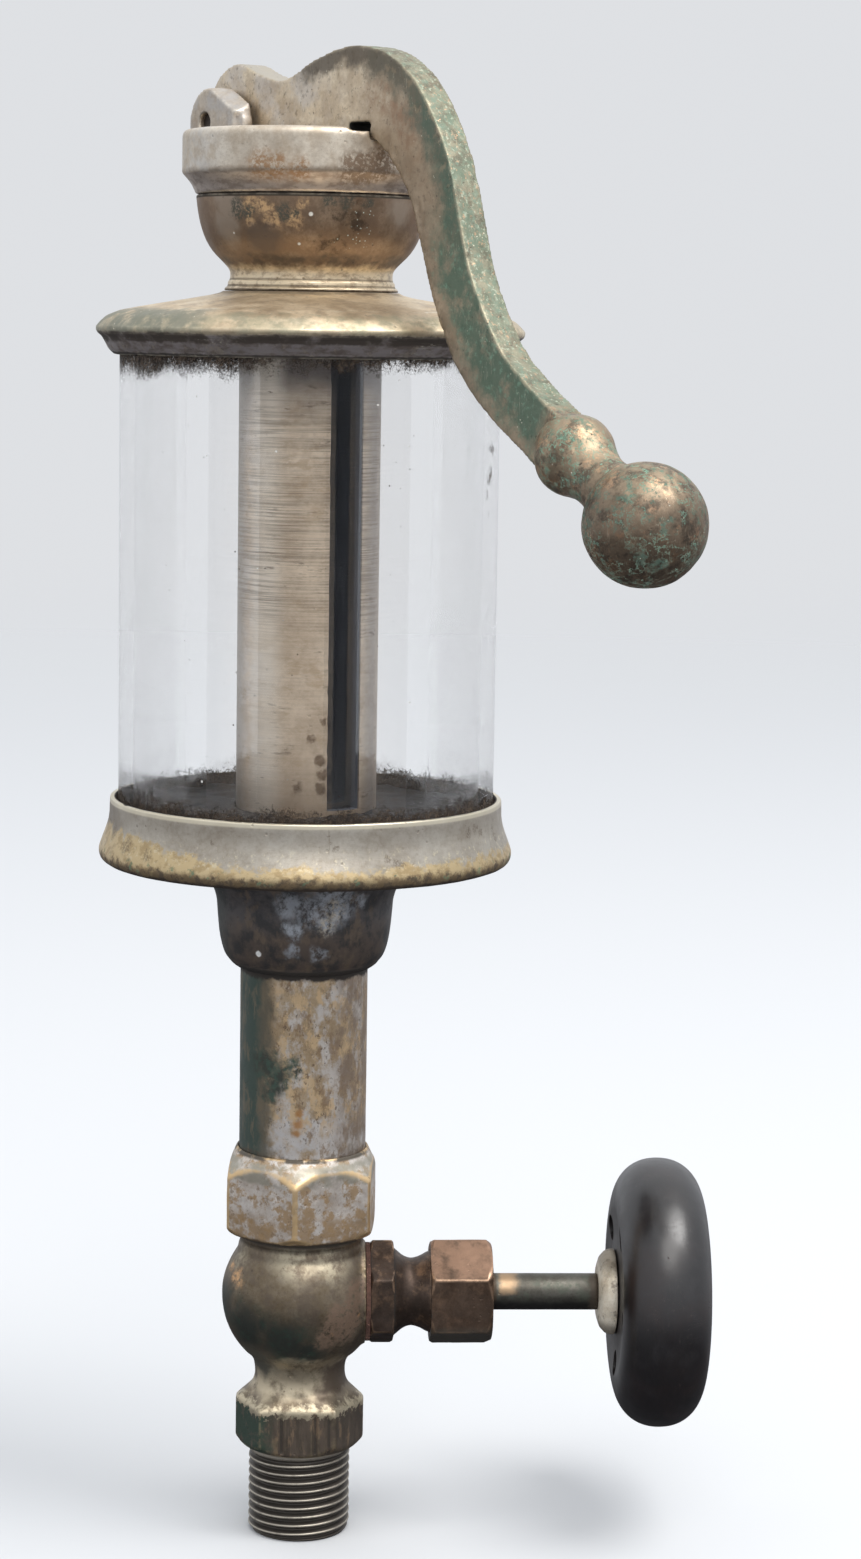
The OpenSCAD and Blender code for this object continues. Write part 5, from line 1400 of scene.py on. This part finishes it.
def make_grit():
    """Crust of dried oil and dust in the gap between the glass and the rim of the cup."""
    n = 420
    th = np.linspace(0, 2 * math.pi, n, endpoint=False)
    sec = arc(38.62, 154.2, 1.0, -25, 205, 12) + [(37.9, 153.2), (39.2, 153.2)]
    rows = []
    for r, z in sec:
        rows.append(np.stack([r * np.cos(th), r * np.sin(th), np.full(n, z)], -1))
    v = np.vstack(rows)
    base = np.column_stack([38.6 * np.cos(np.tile(th, len(sec))), 38.6 * np.sin(np.tile(th, len(sec))), np.zeros(len(v))])
    big = noise(base, 5.0, 131, 3)
    small = noise(v, 0.9, 133, 3)
    r0 = np.hypot(v[:, 0], v[:, 1])
    dr, dz = r0 - 38.6, v[:, 2] - 153.6
    k = 0.52 + 0.30 * big + 0.40 * small
    k = np.clip(k, 0.18, 1.35)
    r1 = 38.6 + dr * np.clip(k, 0.3, 0.95)
    r1 = np.maximum(r1, 38.22)
    v[:, 0] *= r1 / r0
    v[:, 1] *= r1 / r0
    v[:, 2] = 153.6 + np.where(dz > 0, dz * k * 1.05, dz)
    o = new_object("rim_crust", v, grid_faces(len(sec), n, True).tolist())
    fix_normals(o)
    m = Mat("crust_finish", (0.028, 0.019, 0.014), 0.0, 0.9)
    m.layer(m.step(m.noise(1.0, 5, 0.72, seed=1), 0.50, 0.62), (0.085, 0.055, 0.034), None, 0.92)
    m.layer(m.mul(m.step(m.noise(0.8, 5, 0.75, seed=2), 0.60, 0.66), m.step(m.noise(6, 3, 0.6, seed=4), 0.46, 0.6)), (0.34, 0.26, 0.17), None, 0.8)
    m.height(m.noise(0.35, 4, 0.7, seed=3), 0.10)
    m.p.inputs["Specular IOR Level"].default_value = 0.2
    return finish(o, "housing", "gasket", m.done())


def make_sludge():
    """Dried dark oil left on the floor of the glass."""
    rings, n = 34, 220
    rr = np.concatenate([np.linspace(14.42, 35.05, rings), [35.05, 14.42]])
    th = np.linspace(0, 2 * math.pi, n, endpoint=False)
    R, T = np.meshgrid(rr, th, indexing="ij")
    Z = np.full(R.shape, 151.62)
    v = np.stack([R * np.cos(T), R * np.sin(T), Z], -1).reshape(-1, 3)
    h = noise(v, 9.0, 141, 3) * 0.7 + noise(v, 2.2, 143, 3) * 0.45
    edge = smoothstep(29.5, 35.0, np.hypot(v[:, 0], v[:, 1])) * 1.5
    foot = (1 - smoothstep(14.4, 17.5, np.hypot(v[:, 0], v[:, 1]))) * 0.8
    top = 151.9 + np.clip(0.35 + h + edge * (0.6 + 0.6 * noise(v, 6.0, 145, 2)) + foot, 0, 3)
    top = top.reshape(R.shape)
    top[-2:, :] = 151.52
    v[:, 2] = top.reshape(-1)
    o = new_object("oil_residue", v, grid_faces(rings + 2, n, True).tolist())
    fix_normals(o)
    m = Mat("residue_finish", (0.014, 0.013, 0.014), 0.0, 0.6)
    m.layer(m.math("MULTIPLY", m.step(m.noise(4.0, 6, 0.7, seed=1), 0.46, 0.62), 0.85), (0.042, 0.033, 0.027), None, 0.8)
    dust = m.mul(m.step(m.side(-90), 6, 30), m.step(m.noise(3.0, 6, 0.72, seed=2), 0.40, 0.60))
    m.layer(m.math("MULTIPLY", dust, 0.8), (0.10, 0.075, 0.055), None, 0.9)
    m.layer(m.mul(m.step(m.cells(1.9, 5), 0.13, 0.07), m.step(m.noise(7, 3, 0.6, seed=6), 0.48, 0.6)), (0.34, 0.33, 0.31), None, 0.85)
    m.height(m.noise(0.6, 4, 0.7, seed=3), 0.10)
    m.p.inputs["Specular IOR Level"].default_value = 0.25
    return finish(o, "housing", "gasket", m.done())


def dress(node, mat):
    o = NODE[node]
    for i in range(max(1, len(o.material_slots))):
        if len(o.material_slots) == 0:
            o.data.materials.append(mat)
        else:
            o.material_slots[i].link = "OBJECT"
            o.material_slots[i].material = mat


def dress_cad():
    steel = mat_dark_metal("steel_finish", (0.42, 0.42, 0.43), 1.0, 0.28, 1, False)
    for n in ("check_ball", "check_spring"):
        dress(n, steel)
    rod = mat_dark_metal("rod_finish", (0.145, 0.152, 0.172), 0.5, 0.42, 5)
    dress("plunger_rod", rod)
    pin = mat_dark_metal("pin_finish", (0.36, 0.32, 0.27), 1.0, 0.32, 9, False)
    for n in ("rod_pin",):
        dress(n, pin)
    dress("hinge_pin", mat_dark_metal("hinge_pin_finish", (0.085, 0.07, 0.06), 0.85, 0.42, 13, False))
    brass = mat_dark_metal("brass_finish", (0.50, 0.38, 0.20), 1.0, 0.33, 17, False)
    for n in ("check_seat", "plunger", "follower_washer", "plunger_nut", "gland", "valve_disc", "wheel_nut"):
        dress(n, brass)
    cork = mat_soft("cork_finish", (0.055, 0.040, 0.028), 3)
    for n in ("base_gasket", "top_gasket"):
        dress(n, cork)
    fibre = mat_soft("fibre_finish", (0.10, 0.045, 0.03), 5)
    for n in ("bonnet_washer", "stem_packing"):
        dress(n, fibre)
    dress("cup_leather", mat_soft("leather_finish", (0.16, 0.08, 0.04), 7, 0.7))


# ---------------------------------------------------------------- stage
def make_stage():
    n, rows = 96, 24
    rr = np.linspace(0.02, 3200, rows)
    th = np.linspace(0, 2 * math.pi, n, endpoint=False)
    R, T = np.meshgrid(rr, th, indexing="ij")
    v = np.stack([R * np.cos(T), R * np.sin(T), R * 0 - 0.05], -1).reshape(-1, 3)
    floor = new_object("floor", v, grid_faces(rows, n, False)[:, ::-1].tolist())
    m = Mat("floor_finish", (0.66, 0.672, 0.69), 0.0, 0.9)
    rad = m.vec("LENGTH", m.vec("MULTIPLY", m.P, (1, 1, 0)))
    fade = m.step(rad, 600, 2900)
    m.done()
    clear = m.node("BsdfTransparent")
    mix = m.node("MixShader")
    m.put(mix.inputs[0], fade)
    m.t.links.new(m.p.outputs[0], mix.inputs[1])
    m.t.links.new(clear.outputs[0], mix.inputs[2])
    m.t.links.new(mix.outputs[0], m.out.inputs[0])
    floor.data.materials.append(m.m)
    floor.visible_glossy = False


def area(name, at, size, watts, color=(1, 1, 1), to=(0, 0, 0.17), shape="DISK"):
    l = bpy.data.lights.new(name, "AREA")
    l.shape = shape
    l.size = size
    l.energy = watts
    l.color = color
    o = bpy.data.objects.new(name, l)
    SCENE.collection.objects.link(o)
    p = Vector((VIEW @ np.array(at)).tolist())
    o.location = p
    o.rotation_euler = (Vector(to) - p).to_track_quat("-Z", "Y").to_euler()
    o.visible_camera = False
    return o


def make_light():
    """An open, overcast sky above, darker ground below, and one large soft light in front."""
    w = bpy.data.worlds.new("studio")
    SCENE.world = w
    w.use_nodes = True
    t = w.node_tree
    t.nodes.clear()
    out = t.nodes.new("ShaderNodeOutputWorld")
    bg = t.nodes.new("ShaderNodeBackground")
    tc = t.nodes.new("ShaderNodeTexCoord")
    sep = t.nodes.new("ShaderNodeSeparateXYZ")
    ramp = t.nodes.new("ShaderNodeValToRGB")
    mr = t.nodes.new("ShaderNodeMapRange")
    t.links.new(tc.outputs["Generated"], sep.inputs[0])
    t.links.new(sep.outputs[2], mr.inputs[0])
    mr.inputs[1].default_value, mr.inputs[2].default_value = -1.0, 1.0
    t.links.new(mr.outputs[0], ramp.inputs[0])
    e = ramp.color_ramp.elements
    e[0].position, e[0].color = 0.0, (0.035, 0.035, 0.04, 1)
    e[1].position, e[1].color = 1.0, (0.96, 0.98, 1.0, 1)
    for pos, c in ((0.30, (0.06, 0.06, 0.066, 1)), (0.38, (0.26, 0.265, 0.28, 1)), (0.44, (0.48, 0.49, 0.515, 1)), (0.52, (0.58, 0.60, 0.63, 1)), (0.70, (0.70, 0.725, 0.76, 1)), (0.85, (0.90, 0.92, 0.95, 1))):
        x = e.new(pos)
        x.color = c
    t.links.new(ramp.outputs[0], bg.inputs[0])
    bg.inputs[1].default_value = 1.15
    # the plain pale backdrop
    plain = t.nodes.new("ShaderNodeBackground")
    plain.inputs[0].default_value = (0.735, 0.75, 0.775, 1)
    path = t.nodes.new("ShaderNodeLightPath")
    seen = t.nodes.new("ShaderNodeMath")
    seen.operation = "MAXIMUM"
    t.links.new(path.outputs["Is Camera Ray"], seen.inputs[0])
    t.links.new(path.outputs["Is Transmission Ray"], seen.inputs[1])
    mix = t.nodes.new("ShaderNodeMixShader")
    t.links.new(seen.outputs[0], mix.inputs[0])
    t.links.new(bg.outputs[0], mix.inputs[1])
    t.links.new(plain.outputs[0], mix.inputs[2])
    t.links.new(mix.outputs[0], out.inputs[0])
    area("key", (0.20, -1.15, 1.45), 1.0, 7, (1.0, 0.975, 0.94))
    area("over", (0.72, -0.42, 1.62), 0.9, 17, (1.0, 0.985, 0.965))


def make_camera():
    p, roll = 0.135450, 0.015545
    fwd = np.array([0, math.cos(p), -math.sin(p)])
    down = np.array([0, -math.sin(p), -math.cos(p)])
    right = np.array([1.0, 0, 0])
    r2 = math.cos(roll) * right - math.sin(roll) * down
    d2 = math.sin(roll) * right + math.cos(roll) * down
    m = np.eye(4)
    m[:3, 0] = VIEW @ r2
    m[:3, 1] = VIEW @ -d2
    m[:3, 2] = VIEW @ -fwd
    m[:3, 3] = VIEW @ np.array([0.025375, -0.686, 0.25223])
    cam = bpy.data.cameras.new("camera")
    cam.lens = 78.32
    cam.sensor_width = 36
    cam.sensor_fit = "AUTO"
    cam.clip_start, cam.clip_end = 0.01, 50
    o = bpy.data.objects.new("camera", cam)
    o.matrix_world = Matrix(m.tolist())
    SCENE.collection.objects.link(o)
    SCENE.camera = o


make_camera()
make_stage()
make_light()
make_lever()
make_cap()
make_valve_body()
make_coupling()
make_barrel()
make_cup()
make_cover()
make_bowl()
make_glass()
make_tube()
make_bonnet()
make_packing_nut()
make_stem()
make_wheel_washer()
make_wheel()
make_grit()
make_sludge()
dress_cad()

SCENE.view_settings.view_transform = "Standard"
SCENE.view_settings.look = "None"
SCENE.view_settings.exposure = 0.0
SCENE.view_settings.gamma = 1.0
